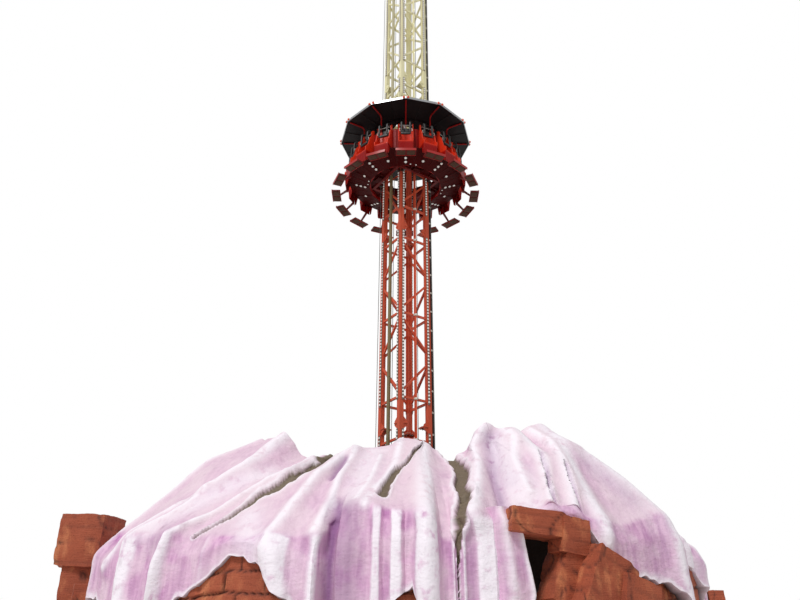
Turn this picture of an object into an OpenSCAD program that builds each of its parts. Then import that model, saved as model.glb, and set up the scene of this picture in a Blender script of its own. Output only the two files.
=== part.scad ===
/* [Tower] */
// Outside width of the square lattice tower
tower_w = 1210; // [1150:10:1300]
// Angle that the tower is turned about its own axis
tower_turn = 33.75; // [0:3.75:45]
// Width of a box-section leg
leg_w = 150; // [120:5:180]
// Wall of a box-section leg
leg_wall = 10; // [6:1:16]
// Height of the base frame under the first section
base_h = 590; // [400:10:800]
// Length of one bolted tower section
section_h = 7000; // [6500:100:7200]
// Height of one bracing panel
panel_h = 2860; // [2500:20:3000]
// Height of the first panel above a splice
panel_start = 810; // [600:10:900]
// Distance between the ends of two diagonals at a leg
node_gap = 450; // [250:10:700]
// Width of a bracing member
brace_w = 70; // [50:5:100]
// Depth of a bracing member
brace_t = 60; // [40:5:90]
// How far the bracing lies behind the leg's outer face
brace_inset = 20; // [5:1:40]
// Thickness of a splice flange
flange_t = 20; // [12:1:30]
// Width of a splice flange
flange_w = 300; // [240:10:360]
// Height of a splice gusset above or below its flange
gusset_h = 200; // [120:10:300]
// Thickness of a splice gusset
gusset_t = 14; // [8:1:20]
// Width of a lamp channel on a leg
lamp_strip_w = 70; // [50:5:75]
// Depth of a lamp channel
lamp_strip_t = 16; // [8:1:20]

/* [Tower services] */
// Width of the cable duct on the left front side
duct_w = 120; // [80:5:160]
// Depth of the cable duct
duct_t = 60; // [40:5:90]
// Radius of the pipe on the right front side
pipe_r = 27; // [20:1:40]
// Width of the backing strip behind the pipe
pipe_back_w = 100; // [80:5:130]
// Depth of the backing strip
pipe_back_t = 12; // [8:1:20]
// Width of the brake rail
rail_w = 120; // [80:5:130]
// Depth of the brake rail
rail_d = 160; // [120:5:165]
// Thickness of the brake rail's web and flanges
rail_t = 12; // [8:1:20]
// Radius of a hoist rope
rope_r = 10; // [8:1:14]
// Distance of a hoist rope outside the leg's corner
rope_out = 64; // [50:2:80]
// Radius of a head sheave to the middle of its rope
sheave_r = 250; // [200:10:280]
// Thickness of a head sheave
sheave_t = 44; // [36:2:60]

/* [Gondola] */
// Height of the foot plates above the ground
foot_z = 16350; // [16000:50:16800]
// Number of seats
seat_n = 16; // [16:1:16]
// Height of the seat pan above the foot plates
pan_up = 730; // [700:5:760]
// Radius of the flat behind each seat
drum_r = 1830; // [1800:5:1850]
// Wall of the back drum
drum_t = 30; // [20:1:40]
// Height of the back drum
drum_h = 860; // [800:10:880]
// Inside width of a seat
seat_w = 460; // [430:5:480]
// Thickness of a seat shell
shell_t = 30; // [20:1:36]
// Depth of the seat pan
pan_d = 400; // [380:5:430]
// Radius of the middle of a foot plate
foot_r = 2515; // [2480:5:2540]
// Width of a foot plate
foot_w = 680; // [600:10:720]
// Depth of a foot plate
foot_d = 310; // [280:5:330]
// Thickness of a foot plate
foot_t = 40; // [30:2:50]
// Width of a foot plate's arm
arm_w = 60; // [50:2:80]
// Inside radius of the hub ring
hub_r = 1262; // [1262:1:1290]
// Thickness of the hub ring
hub_t = 58; // [40:2:70]
// Drop of the underside panels from the seats to the hub
petal_drop = 230; // [150:10:260]
// Thickness of an underside panel
petal_t = 8; // [6:1:14]

/* [Carriage] */
// Half of the opening that the tower passes through
carriage_in = 790; // [785:1:800]
// Width of the carriage's box beams
carriage_t = 100; // [80:5:100]
// Height of the carriage above the foot plates
carriage_top = 4150; // [3900:50:4300]
// Radius of a guide roller
roller_r = 85; // [75:1:90]
// Width of a guide roller
roller_w = 50; // [40:1:50]
// Running gap between a roller and a leg
roller_gap = 5; // [5:0.5:8]

/* [Canopy] */
// Radius of the canopy's corners
canopy_r = 2440; // [2400:5:2500]
// Height of the canopy's lower edge above the foot plates
canopy_up = 2420; // [2400:5:2500]
// Thickness of the canopy at its edge
canopy_t = 60; // [40:2:80]
// Rise of the canopy towards the middle
canopy_rise = 150; // [0:10:250]
// Number of canopy corners
canopy_n = 12; // [12:1:12]
// Radius of a canopy arm's tube
arm_r = 26; // [20:1:32]

/* [Restraints] */
// Height of the restraint pivot above the foot plates
pivot_up = 1690; // [1680:5:1710]
// Radius of the restraint's pivot tube
pivot_r = 15; // [12:1:18]
// Half distance between the two shoulder bars
shoulder_y = 150; // [130:5:160]
// Thickness of a shoulder bar
shoulder_t = 70; // [50:2:80]

/* [Mound] */
// Half width of the mound from left to right
mound_rx = 7700; // [7400:50:8000]
// Half depth of the mound from front to back
mound_ry = 6300; // [6100:50:6600]
// Height of the rock wall
wall_h = 2200; // [1900:50:2500]
// Thickness of the rock wall
wall_t = 320; // [250:10:400]
// Thickness of the lava mantle
lava_t = 180; // [140:10:240]
// Height where the mantle folds from roof to drape
fold_z = 4200; // [3900:50:4500]
// Depth of the folds in the drapes
drape_d = 110; // [60:10:160]
// Height of the cave mouth
cave_h = 3600; // [3200:50:3800]
// Thickness of the station floor
floor_t = 100; // [60:5:140]

/* [Hidden] */
$fn = 48;
seat_gap = 0.3;
section_n = 4;
tower_half = tower_w / 2;
leg_c = tower_half - leg_w / 2;
bay_w = tower_w - 2 * leg_w;
brace_out = tower_half - brace_inset;
tower_top = base_h + section_n * section_h;
panel_n = 2;
seat_step = 360 / seat_n;
canopy_step = 360 / canopy_n;
pan_z = foot_z + pan_up;
beam_top = pan_z - 40;
drum_z = beam_top + seat_gap;
pivot_z = foot_z + pivot_up;
pivot_r_pos = drum_r + 25;
canopy_z = foot_z + canopy_up;
rope_d = (tower_half * sqrt(2)) + rope_out;
red = [0.75, 0.2, 0.12];
cream = [0.93, 0.9, 0.7];
dark = [0.2, 0.17, 0.16];
lava = [0.92, 0.8, 0.9];
rock = [0.65, 0.3, 0.22];

// Height of splice i, counted from the base frame
function splice(i) = base_h + i * section_h;
// Point at angle a from the front, towards the right
function at(a, r) = [r * sin(a), -r * cos(a)];
// Points of an arc
function arc(x, y, r, from, to, n) = [for (i = [0:n]) let (t = from + (to - from) * i / n) [x + r * cos(t), y + r * sin(t)]];

module radial(a) {
    rotate([0, 0, a - 90]) children();
}

module side_profile(w) {
    rotate([90, 0, 0]) linear_extrude(w, center = true) children();
}

module corners() {
    for (k = [0:3]) rotate([0, 0, tower_turn + 90 * k]) children();
}

module bar(a, b, w) {
    d = b - a;
    translate(a) rotate([0, 0, atan2(d[1], d[0])]) translate([0, -w / 2]) square([norm(d), w]);
}

module gusset() {
    translate([tower_half - flange_w, tower_half - brace_inset - gusset_t, 0])
        rotate([90, 0, 0]) translate([0, 0, -gusset_t])
            linear_extrude(gusset_t)
                polygon([[0, 0], [flange_w - leg_w, 0], [flange_w - leg_w, gusset_h], [0, gusset_h / 3]]);
}

module leg_end(up) {
    mirror([0, 0, up ? 0 : 1]) {
        translate([tower_half - flange_w, tower_half - flange_w, 0])
            linear_extrude(flange_t)
                difference() {
                    square(flange_w);
                    translate([flange_w - leg_w + leg_wall, flange_w - leg_w + leg_wall])
                        square(leg_w - 2 * leg_wall);
                }
        gusset();
        mirror([1, -1, 0]) gusset();
    }
}

module leg_tube(h) {
    translate([leg_c, leg_c, 0])
        linear_extrude(h)
            difference() {
                square(leg_w, center = true);
                square(leg_w - 2 * leg_wall, center = true);
            }
}

module lamp_strips(z0, h, keep_low, keep_high) {
    if (keep_low)
        translate([tower_half - leg_w, tower_half - 0.5, z0]) cube([lamp_strip_w, lamp_strip_t + 0.5, h]);
    if (keep_high)
        translate([tower_half - 0.5, tower_half - leg_w, z0]) cube([lamp_strip_t + 0.5, lamp_strip_w, h]);
}

module legs(i) {
    color(i < 2 ? red : cream)
        for (k = [0:3])
            rotate([0, 0, tower_turn + 90 * k])
                translate([0, 0, splice(i)]) {
                    leg_tube(section_h);
                    leg_end(true);
                    translate([0, 0, section_h]) leg_end(false);
                    lamp_strips(gusset_h + 500, section_h - 2 * gusset_h - 500, k != 3, true);
                }
}

module base_frame() {
    color(red)
        corners() {
            translate([leg_c - 260, leg_c - 260, 0]) cube([520, 520, 30]);
            translate([0, 0, 20]) leg_tube(base_h - 20);
            translate([0, 0, base_h]) leg_end(false);
            translate([-leg_c, leg_c - 50, 30]) cube([2 * leg_c, 100, 200]);
        }
    color(red)
        rotate([0, 0, tower_turn - 45])
            translate([-leg_c * sqrt(2), -50, 60]) cube([2 * leg_c * sqrt(2), 100, 150]);
}

module lattice(flip) {
    for (s = [0:section_n - 1])
        translate([0, splice(s)]) {
            for (p = [0:panel_n - 1])
                translate([0, panel_start + p * panel_h])
                    mirror([flip ? 1 : 0, 0]) {
                        half = panel_h / 2;
                        g = node_gap / 2;
                        bar([-bay_w / 2, g], [bay_w / 2, half - g], brace_w);
                        bar([bay_w / 2, half + g], [-bay_w / 2, panel_h - g], brace_w);
                    }
            for (p = [0:panel_n])
                translate([-bay_w / 2, panel_start + p * panel_h - brace_w / 2]) square([bay_w, brace_w]);
            for (x = [-1, 1])
                translate([x * (bay_w / 2 - 15) - 15, panel_start - brace_w]) square([30, panel_n * panel_h + 2 * brace_w]);
        }
}

module side(turn, flip) {
    color(red)
        rotate([0, 0, tower_turn + turn])
            translate([0, brace_out, 0])
                rotate([90, 0, 0])
                    linear_extrude(brace_t)
                        intersection() {
                            lattice(flip);
                            translate([-bay_w / 2 + seat_gap, 0]) square([bay_w - 2 * seat_gap, tower_top]);
                        }
}

module cable_duct() {
    color([0.4, 0.36, 0.25])
        rotate([0, 0, tower_turn + 90])
            translate([-duct_w / 2, brace_out + seat_gap, floor_t + seat_gap])
                cube([duct_w, duct_t, tower_top - floor_t - 400]);
}

module air_pipe() {
    color(red)
        rotate([0, 0, tower_turn + 180])
            translate([0, brace_out + seat_gap, floor_t + seat_gap]) {
                h = tower_top - floor_t - 400;
                translate([-pipe_back_w / 2, 0, 0]) cube([pipe_back_w, pipe_back_t, h]);
                translate([0, pipe_back_t + pipe_r - 1, 0]) cylinder(r = pipe_r, h = h);
            }
}

module brake_rail() {
    color(dark)
        rotate([0, 0, tower_turn])
            translate([tower_half + seat_gap, -tower_half + leg_w - lamp_strip_w, splice(0)])
                linear_extrude(tower_top - splice(0) - 200)
                    difference() {
                        square([rail_d, rail_w]);
                        translate([rail_t, rail_t]) square([rail_d, rail_w - 2 * rail_t]);
                    }
}

module rope_place() {
    for (k = [0, 2]) rotate([0, 0, tower_turn - 45 + 90 * k]) children();
}

sheave_z = tower_top + 510;
module hoist_ropes() {
    color(dark)
        rope_place() {
            translate([rope_d, 0, 30]) cylinder(r = rope_r, h = sheave_z - 30);
            translate([rope_d - 2 * sheave_r, 0, 210]) cylinder(r = rope_r, h = sheave_z - 210);
            translate([rope_d - sheave_r, 0, sheave_z])
                rotate([90, 0, 0]) rotate_extrude(angle = 180) translate([sheave_r, 0]) circle(r = rope_r);
        }
}

module head_frame() {
    color(cream) {
        corners() {
            translate([0, 0, tower_top]) leg_end(true);
            translate([-leg_c, leg_c - 75, tower_top + 10]) cube([2 * leg_c, 150, 200]);
            translate([leg_c - 75, leg_c - 75, tower_top]) cube([150, 150, 210]);
        }
        rope_place()
            for (y = [-1, 1])
                translate([rope_d - sheave_r, y * (sheave_t / 2 + 13), tower_top + 200])
                    rotate([90, 0, 0])
                        linear_extrude(16, center = true)
                            polygon([[-120, 0], [120, 0], [70, 380], [-70, 380]]);
        rope_place()
            translate([rope_d - sheave_r, 0, sheave_z])
                rotate([90, 0, 0]) cylinder(r = 30, h = sheave_t + 70, center = true);
    }
}

module head_sheaves() {
    color(dark)
        rope_place()
            translate([rope_d - sheave_r, 0, sheave_z])
                rotate([90, 0, 0])
                    difference() {
                        cylinder(r = sheave_r + 14, h = sheave_t, center = true, $fn = 96);
                        rotate_extrude($fn = 96) translate([sheave_r, 0]) circle(r = rope_r + seat_gap);
                        rotate_extrude($fn = 96) translate([sheave_r, -rope_r - seat_gap]) square([40, 2 * (rope_r + seat_gap)]);
                        cylinder(r = 30 + seat_gap, h = sheave_t + 2, center = true);
                    }
}

// Plan radius of the mound at angle a
function plan_r(a) = 1 / sqrt(pow(sin(a) / mound_rx, 2) + pow(cos(a) / mound_ry, 2));
// Heights and radii of the crater's crest at hand-set angles
crest = [[-180, 6250, 3900], [-120, 6400, 4000], [-90, 6700, 4100], [-60, 6850, 4200], [-45, 6600, 4000],
         [-30, 6250, 3700], [0, 6050, 3600], [15, 6050, 3650], [22, 6100, 3800], [28, 6600, 4300],
         [36, 6250, 4000], [45, 6800, 4400], [55, 6700, 4500], [70, 6300, 4300], [90, 6200, 4100],
         [120, 6250, 4000], [180, 6250, 3900]];
function crest_z(a) = lookup(a, [for (c = crest) [c[0], c[1]]]);
function crest_r(a) = lookup(a, [for (c = crest) [c[0], c[2]]]);
// Depth of the drape folds at angle a
function fold(a) = drape_d * (cos(a * 22) + 0.6 * cos(a * 13 + 40) + 0.5 * cos(a * 37 + 110)) / 1.5;
cave_from = 15;
cave_to = 30;
jamb = 2.8;
lintel_h = 480;
hem_drop = 350;
hem_wave = 250;
// Height of the drapes' lower edge at angle a
function hem_z(a) = wall_h - hem_drop + hem_wave * sin(a * 9);
// Direction that the mound's wall faces at angle a
function facing(a) = atan2(sin(a) / pow(mound_rx, 2), cos(a) / pow(mound_ry, 2));
ledge_z = wall_h - hem_drop - hem_wave - 50;
drape_out = lava_t + drape_d * 1.4 + 20;

module on_wall(a) {
    translate(at(a, plan_r(a) + seat_gap)) rotate([0, 0, facing(a) - 90]) children();
}

// Section of the mantle at angle a, as radius and height
function mantle(a, foot, hem) =
    let (w = plan_r(a), f = fold(a), cz = crest_z(a), cr = crest_r(a), fz = max(fold_z, foot + 300))
    [[w - wall_t, foot], [w + seat_gap, foot], [w + seat_gap, hem],
     [w + lava_t + f, hem], [w + lava_t + f * 0.8 - 60, (hem + fz) / 2],
     [w + lava_t + f * 0.6 - 200, fz - 150], [w - 420 + f * 0.4, fz + 120],
     [(w + cr) / 2 - 60, (fz + cz) / 2 + 60 + f * 0.4], [cr + 250, cz - 120], [cr + 60, cz],
     [cr - 100, cz - 80], [cr - 60, cz - 80 - lava_t],
     [(w + cr) / 2 - lava_t, (fz + cz) / 2 - lava_t - 60], [w - wall_t - 200, fz - lava_t],
     [w - wall_t, (foot + fz) / 2 - 100]];

sector_step = 3.75;
// Triangles that close the section of the mantle at a sector's end
mantle_cap = [[1, 2, 3], [1, 3, 4], [0, 1, 4], [0, 4, 14], [4, 5, 14], [5, 13, 14], [5, 6, 13],
              [6, 7, 13], [7, 12, 13], [7, 8, 12], [8, 11, 12], [8, 9, 10], [8, 10, 11]];
// Angle left open on each side of a joint between two sectors
joint_gap = 0.003;
// Angle a, kept off the joints at the two ends of a sector
function clear_of(a, from, to) = min(max(a, from + joint_gap), to - joint_gap);
module mantle_sector(from, to, over_cave = false) {
    n = round((to - from) / sector_step);
    foot = over_cave ? cave_h + lintel_h + seat_gap : wall_h;
    m = len(mantle(0, foot, foot));
    points = [for (i = [0:n])
                  let (a = clear_of(from + i * sector_step, from, to))
                      for (p = mantle(a, foot, over_cave ? foot : hem_z(a))) [for (v = at(a, p[0])) v, p[1]]];
    sides = [for (i = [0:n - 1]) for (j = [0:m - 1])
                 let (k = (j + 1) % m, p = i * m + j, q = i * m + k, r = p + m, s = q + m)
                     each [[p, s, q], [p, r, s]]];
    last = [for (t = mantle_cap) [for (j = [2:-1:0]) n * m + t[j]]];
    color(lava) polyhedron(points = points, faces = concat(sides, mantle_cap, last));
}

module wall_segment(from, to) {
    n = round((to - from) / sector_step);
    turns = [for (i = [0:n]) clear_of(from + i * sector_step, from, to)];
    outer = [for (a = turns) at(a, plan_r(a))];
    inner = [for (i = [n:-1:0]) at(turns[i], plan_r(turns[i]) - wall_t)];
    color(rock) linear_extrude(wall_h - seat_gap) polygon(concat(outer, inner));
}

module station_floor() {
    color([0.5, 0.5, 0.5])
        linear_extrude(floor_t)
            difference() {
                polygon([for (i = [0:95]) let (a = i * sector_step) at(a, plan_r(a) - wall_t - seat_gap)]);
                rotate([0, 0, tower_turn]) square(2 * (leg_c + 260 + seat_gap), center = true);
            }
}

module ring_piece(from, to, z0, z1, out) {
    translate([0, 0, z0])
        linear_extrude(z1 - z0)
            polygon([at(from, plan_r(from) - wall_t), at(from, plan_r(from) + out),
                     at(to, plan_r(to) + out), at(to, plan_r(to) - wall_t)]);
}

module cave_rock() {
    slack = 0.01;
    color(rock) {
        ring_piece(cave_from + slack, cave_from + jamb, 0, cave_h + lintel_h, 380);
        ring_piece(cave_to - jamb, cave_to - slack, 0, cave_h + lintel_h, 330);
        ring_piece(cave_from + slack, cave_to - slack, cave_h, cave_h + lintel_h, 420);
    }
}

module rock_stack(a, w, d, h) {
    color(rock)
        on_wall(a) {
            translate([0, -w / 2, 0]) cube([d, w, ledge_z]);
            translate([drape_out, -w / 2, 0]) cube([d - drape_out, w, h]);
        }
}

roller_at = tower_half + roller_gap + roller_r;
roller_y = tower_half - 10 - roller_w / 2;
roller_levels = [foot_z + 520, foot_z + carriage_top - 330];
ring_h = 140;
hub_bracket_w = 80;
hub_bracket_h = 200;
// Reach of the corner brackets that carry the hub ring
hub_reach = hub_r / cos(seat_step / 2) - hub_bracket_w / 2 * tan(seat_step / 2) - seat_gap;

module carriage_ring(z, h) {
    translate([0, 0, z])
        linear_extrude(h)
            difference() {
                square(2 * (carriage_in + carriage_t), center = true);
                square(2 * carriage_in, center = true);
            }
}

module roller_fork(z) {
    for (s = [-1, 1])
        translate([roller_at - 40, roller_y + s * (roller_w / 2 + 11) - 6, z - 40])
            cube([carriage_in - roller_at + 60, 12, 80]);
    translate([roller_at, roller_y, z])
        rotate([90, 0, 0]) cylinder(r = 18, h = roller_w + 34, center = true);
}

module carriage_frame() {
    color(cream)
        rotate([0, 0, tower_turn]) {
            for (z = concat(roller_levels, [foot_z + 2750])) carriage_ring(z - ring_h / 2, ring_h);
            for (x = [-1, 1], y = [-1, 1])
                translate([x * (carriage_in + carriage_t / 2), y * (carriage_in + carriage_t / 2), roller_levels[0] - ring_h / 2])
                    translate([-carriage_t / 2, -carriage_t / 2, 0])
                        cube([carriage_t, carriage_t, roller_levels[1] - roller_levels[0] + ring_h]);
            for (k = [0:3], z = roller_levels)
                rotate([0, 0, 90 * k]) {
                    roller_fork(z);
                    mirror([0, 1, 0]) roller_fork(z);
                }
            for (k = [0:3])
                rotate([0, 0, 90 * k + 45])
                    translate([hub_reach - hub_bracket_w, -hub_bracket_w / 2, roller_levels[0] - ring_h / 2])
                        cube([hub_bracket_w, hub_bracket_w, hub_bracket_h]);
            for (k = [0, 2])
                rotate([0, 0, 90 * k - 45])
                    translate([rope_d, 0, roller_levels[1] - ring_h / 2])
                        difference() {
                            translate([-30, -30, 0]) cube([carriage_in * sqrt(2) - rope_d + 60, 60, ring_h]);
                            translate([0, 0, -1]) cylinder(r = rope_r + 0.6, h = ring_h + 2);
                        }
        }
}

module carriage_rollers() {
    color(dark)
        rotate([0, 0, tower_turn])
            for (k = [0:3], z = roller_levels, y = [-1, 1])
                rotate([0, 0, 90 * k])
                    translate([roller_at, y * roller_y, z])
                        rotate([90, 0, 0])
                            difference() {
                                cylinder(r = roller_r, h = roller_w, center = true);
                                cylinder(r = 18 + seat_gap, h = roller_w + 2, center = true);
                            }
}

beam_out = drum_r + 330;
beam_w = 80;
petal_out = beam_out - 65;
petal_in = hub_r + hub_t;
petal_slope = petal_drop / (beam_out - petal_in);
// Rise of a panel's top from its inner edge to the hub ring's corner
petal_lap = petal_in * (1 / cos(seat_step / 2) - cos(seat_step / 2)) * petal_slope;
// Height of the top of the underside panels at radius r, above a seam
function petal_z(r) = beam_top - 100 - (beam_out - r) * petal_slope;

module ring16(r_in, r_out, h) {
    linear_extrude(h)
        difference() {
            polygon([for (k = [0:seat_n - 1]) at((k + 0.5) * seat_step, r_out / cos(seat_step / 2))]);
            polygon([for (k = [0:seat_n - 1]) at((k + 0.5) * seat_step, r_in / cos(seat_step / 2))]);
        }
}

module radial_frame() {
    ring_z = petal_z(petal_in) + petal_lap;
    color(red) {
        translate([0, 0, ring_z]) ring16(hub_r, hub_r + hub_t, beam_top - ring_z);
        for (k = [0:seat_n - 1])
            radial(k * seat_step)
                side_profile(beam_w)
                    polygon([[petal_in - 10, petal_z(petal_in)], [petal_in, petal_z(petal_in)], [beam_out, petal_z(beam_out)],
                             [beam_out, beam_top], [petal_in - 10, beam_top]]);
    }
}

module back_drum() {
    color(red) {
        translate([0, 0, drum_z]) ring16(drum_r - drum_t, drum_r, drum_h);
        translate([0, 0, drum_z + drum_h - 10]) ring16(drum_r - 140, drum_r, 10);
    }
}

module underside_panels() {
    half = seat_step / 2;
    run = petal_out - petal_in;
    slope = atan(petal_slope);
    length = run / cos(slope);
    color(red)
        for (k = [0:seat_n - 1])
            radial((k + 0.5) * seat_step)
                translate([petal_in * cos(half), 0, petal_z(petal_in) - seat_gap - beam_w / 2 * sin(half) * petal_slope])
                    rotate([0, -slope, 0])
                        translate([0, 0, -petal_t])
                            linear_extrude(petal_t)
                                polygon([[0, -petal_in * sin(half) + 3], [length * cos(half), -petal_out * sin(half) + 3],
                                         [length * cos(half), petal_out * sin(half) - 3], [0, petal_in * sin(half) - 3]]);
}

module seat_shell() {
    back = drum_r + seat_gap;
    front = back + pan_d;
    top = beam_top + drum_h;
    side_profile(seat_w - 2 * seat_gap)
        polygon(concat([[back, top], [back, beam_top + seat_gap], [front - shell_t, beam_top + seat_gap],
                        [front - shell_t - 25, foot_z + 290], [front - 25, foot_z + 270]],
                       arc(front - 40, pan_z - 10, 40, 0, 90, 6),
                       arc(back + 150, pan_z + 130, 100, -90, -180, 6),
                       [[back + shell_t, top]]));
    for (s = [-1, 1])
        translate([0, s * (seat_w + shell_t) / 2, 0])
            side_profile(shell_t)
                difference() {
                    polygon(concat([[back, pan_z - 60]], [[back, pivot_z + 40]],
                                   [[back + 60, pivot_z + 40]],
                                   arc(back + 330, pivot_z - 160, 210, 150, 235, 8),
                                   arc(back + 270, pan_z + 60, 140, 75, 0, 6),
                                   [[front, pan_z - 60], [front - 60, foot_z + 300], [front - 110, foot_z + 320]],
                                   [[front - 160, pan_z - 120]]));
                    translate([pivot_r_pos, pivot_z]) circle(r = pivot_r + seat_gap);
                }
}

module seats(from, to) {
    color(red)
        for (k = [from:to]) radial(k * seat_step) seat_shell();
}

module footrests() {
    color([0.35, 0.1, 0.08])
        for (k = [0:seat_n - 1])
            radial(k * seat_step) {
                translate([foot_r - foot_d / 2, -foot_w / 2, foot_z - foot_t]) cube([foot_d, foot_w, foot_t]);
                translate([foot_r + foot_d / 2 - 20, -foot_w / 2, foot_z - foot_t]) cube([20, foot_w, foot_t + 20]);
                side_profile(arm_w)
                    polygon([[beam_out - 60, petal_z(beam_out - 60) - seat_gap], [beam_out, petal_z(beam_out) - seat_gap],
                             [beam_out, foot_z + 240], [foot_r - 60, foot_z - foot_t / 2],
                             [foot_r - 120, foot_z - foot_t / 2], [beam_out - 60, foot_z + 200]]);
            }
}

canopy_hole = (hub_r + 20) / cos(canopy_step / 2);
module canopy_roof() {
    top = canopy_z + canopy_t;
    rings = [[canopy_r, canopy_z], [canopy_r, top], [canopy_hole, top + canopy_rise], [canopy_hole, canopy_z]];
    m = len(rings);
    points = [for (k = [0:canopy_n - 1]) for (p = rings) [for (v = at(k * canopy_step, p[0])) v, p[1]]];
    faces = [for (k = [0:canopy_n - 1]) for (j = [0:m - 1])
                 let (n = (k + 1) % canopy_n, i = (j + 1) % m, p = k * m + j, q = k * m + i, r = n * m + j, s = n * m + i)
                     each [[p, s, q], [p, r, s]]];
    color(dark) polyhedron(points = points, faces = faces);
}

module canopy_arms() {
    foot = drum_z + drum_h + seat_gap;
    bend = 130;
    up = canopy_z - seat_gap - arm_r - bend;
    out = drum_r - 75;
    color(red)
        for (k = [0:canopy_n - 1])
            radial(k * canopy_step) {
                translate([out, 0, foot]) cylinder(r = arm_r, h = up - foot);
                translate([out + bend, 0, up])
                    rotate([90, 0, 0]) rotate([0, 0, 90]) rotate_extrude(angle = 90) translate([bend, 0]) circle(r = arm_r);
                translate([out + bend, 0, up + bend]) rotate([0, 90, 0]) cylinder(r = arm_r, h = canopy_r - 90 - out - bend);
            }
}

module canopy_rim() {
    color([0.6, 0.62, 0.64])
        translate([0, 0, canopy_z - 15])
            linear_extrude(canopy_t + 30)
                difference() {
                    polygon([for (k = [0:canopy_n - 1]) at(k * canopy_step, canopy_r + 12)]);
                    polygon([for (k = [0:canopy_n - 1]) at(k * canopy_step, canopy_r + seat_gap)]);
                }
}

module restraint(k) {
    t = shoulder_t;
    x = pivot_r_pos;
    z = pivot_z;
    color(dark)
        radial(k * seat_step) {
            translate([x, 0, z]) rotate([90, 0, 0]) cylinder(r = pivot_r, h = seat_w + 2 * shell_t - 4, center = true);
            for (s = [-1, 1])
                translate([0, s * shoulder_y, 0])
                    side_profile(t)
                        polygon(concat([[x - 20, z + 20], [x - 20, z - 20], [x + 60, z - 15]],
                                       arc(x + 80, z - 105, 90, 90, 0, 5), [[x + 190, z - 520]],
                                       [[x + 190 + t, z - 520]], arc(x + 80, z - 115, 180, 0, 90, 8)));
            translate([x + 190, -shoulder_y - t / 2, z - 590]) cube([t, 2 * shoulder_y + t, 90]);
        }
}

base_frame();
legs(0);  // legs_1
legs(1);  // legs_2
legs(2);  // legs_3
legs(3);  // legs_4
side(180, true);  // side_right_front
side(90, false);  // side_left_front
side(0, true);  // side_left_back
side(270, false);  // side_right_back
cable_duct();
air_pipe();
brake_rail();
hoist_ropes();
head_frame();
head_sheaves();
station_floor();
mantle_sector(-30, cave_from);  // lava_front
mantle_sector(cave_from, cave_to, true);  // lava_cave
mantle_sector(30, 90);  // lava_right_front
mantle_sector(90, 150);  // lava_right_back
mantle_sector(150, 210);  // lava_back
mantle_sector(-150, -90);  // lava_left_back
mantle_sector(-90, -30);  // lava_left_front
wall_segment(-30, 15);  // wall_front
wall_segment(30, 75);  // wall_right_front
wall_segment(75, 120);  // wall_right
wall_segment(120, 240);  // wall_back
wall_segment(-120, -75);  // wall_left
wall_segment(-75, -30);  // wall_left_front
cave_rock();
rock_stack(37.5, 900, 1100, 3300);  // buttress_rock
rock_stack(-90, 1300, 1200, 3600);  // left_rocks
rock_stack(86.25, 900, 800, 2900);  // right_rock
carriage_frame();
carriage_rollers();
radial_frame();
back_drum();
underside_panels();
seats(-4, 3);  // seats_front
seats(4, 11);  // seats_back
footrests();
canopy_roof();
canopy_arms();
canopy_rim();
restraint(0);  // restraint_01
restraint(1);  // restraint_02
restraint(2);  // restraint_03
restraint(3);  // restraint_04
restraint(4);  // restraint_05
restraint(5);  // restraint_06
restraint(6);  // restraint_07
restraint(7);  // restraint_08
restraint(8);  // restraint_09
restraint(9);  // restraint_10
restraint(10);  // restraint_11
restraint(11);  // restraint_12
restraint(12);  // restraint_13
restraint(13);  // restraint_14
restraint(14);  // restraint_15
restraint(15);  // restraint_16
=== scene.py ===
"""Drop tower ride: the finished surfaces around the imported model. Metres, Z up, front towards -Y."""

from math import atan, atan2, cos, pi, radians, sin, sqrt

import bmesh
import bpy
import numpy as np
from mathutils import Matrix, Vector, noise


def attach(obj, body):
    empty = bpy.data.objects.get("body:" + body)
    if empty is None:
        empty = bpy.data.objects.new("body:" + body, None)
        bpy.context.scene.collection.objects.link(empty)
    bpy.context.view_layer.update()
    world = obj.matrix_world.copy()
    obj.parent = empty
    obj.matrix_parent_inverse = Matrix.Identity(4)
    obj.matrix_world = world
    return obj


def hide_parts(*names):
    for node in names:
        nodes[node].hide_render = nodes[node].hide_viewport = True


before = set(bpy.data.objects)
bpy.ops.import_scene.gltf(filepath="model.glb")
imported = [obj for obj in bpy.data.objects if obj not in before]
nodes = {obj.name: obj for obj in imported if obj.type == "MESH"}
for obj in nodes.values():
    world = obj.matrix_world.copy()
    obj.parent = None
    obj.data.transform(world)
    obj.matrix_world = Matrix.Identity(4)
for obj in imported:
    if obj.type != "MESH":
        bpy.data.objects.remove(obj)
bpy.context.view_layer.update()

# ---- Studio ----
# The ride stands on a pale floor that runs out to a white horizon. One broad soft lamp stands high
# on the left in front, and pale walls all round fill the shadows.


def tint(r, g, b):
    """A colour as on a paint card, 0 to 255, as the linear colour that shaders take."""
    return [((c / 255 + 0.055) / 1.055) ** 2.4 for c in (r, g, b)] + [1.0]


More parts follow.
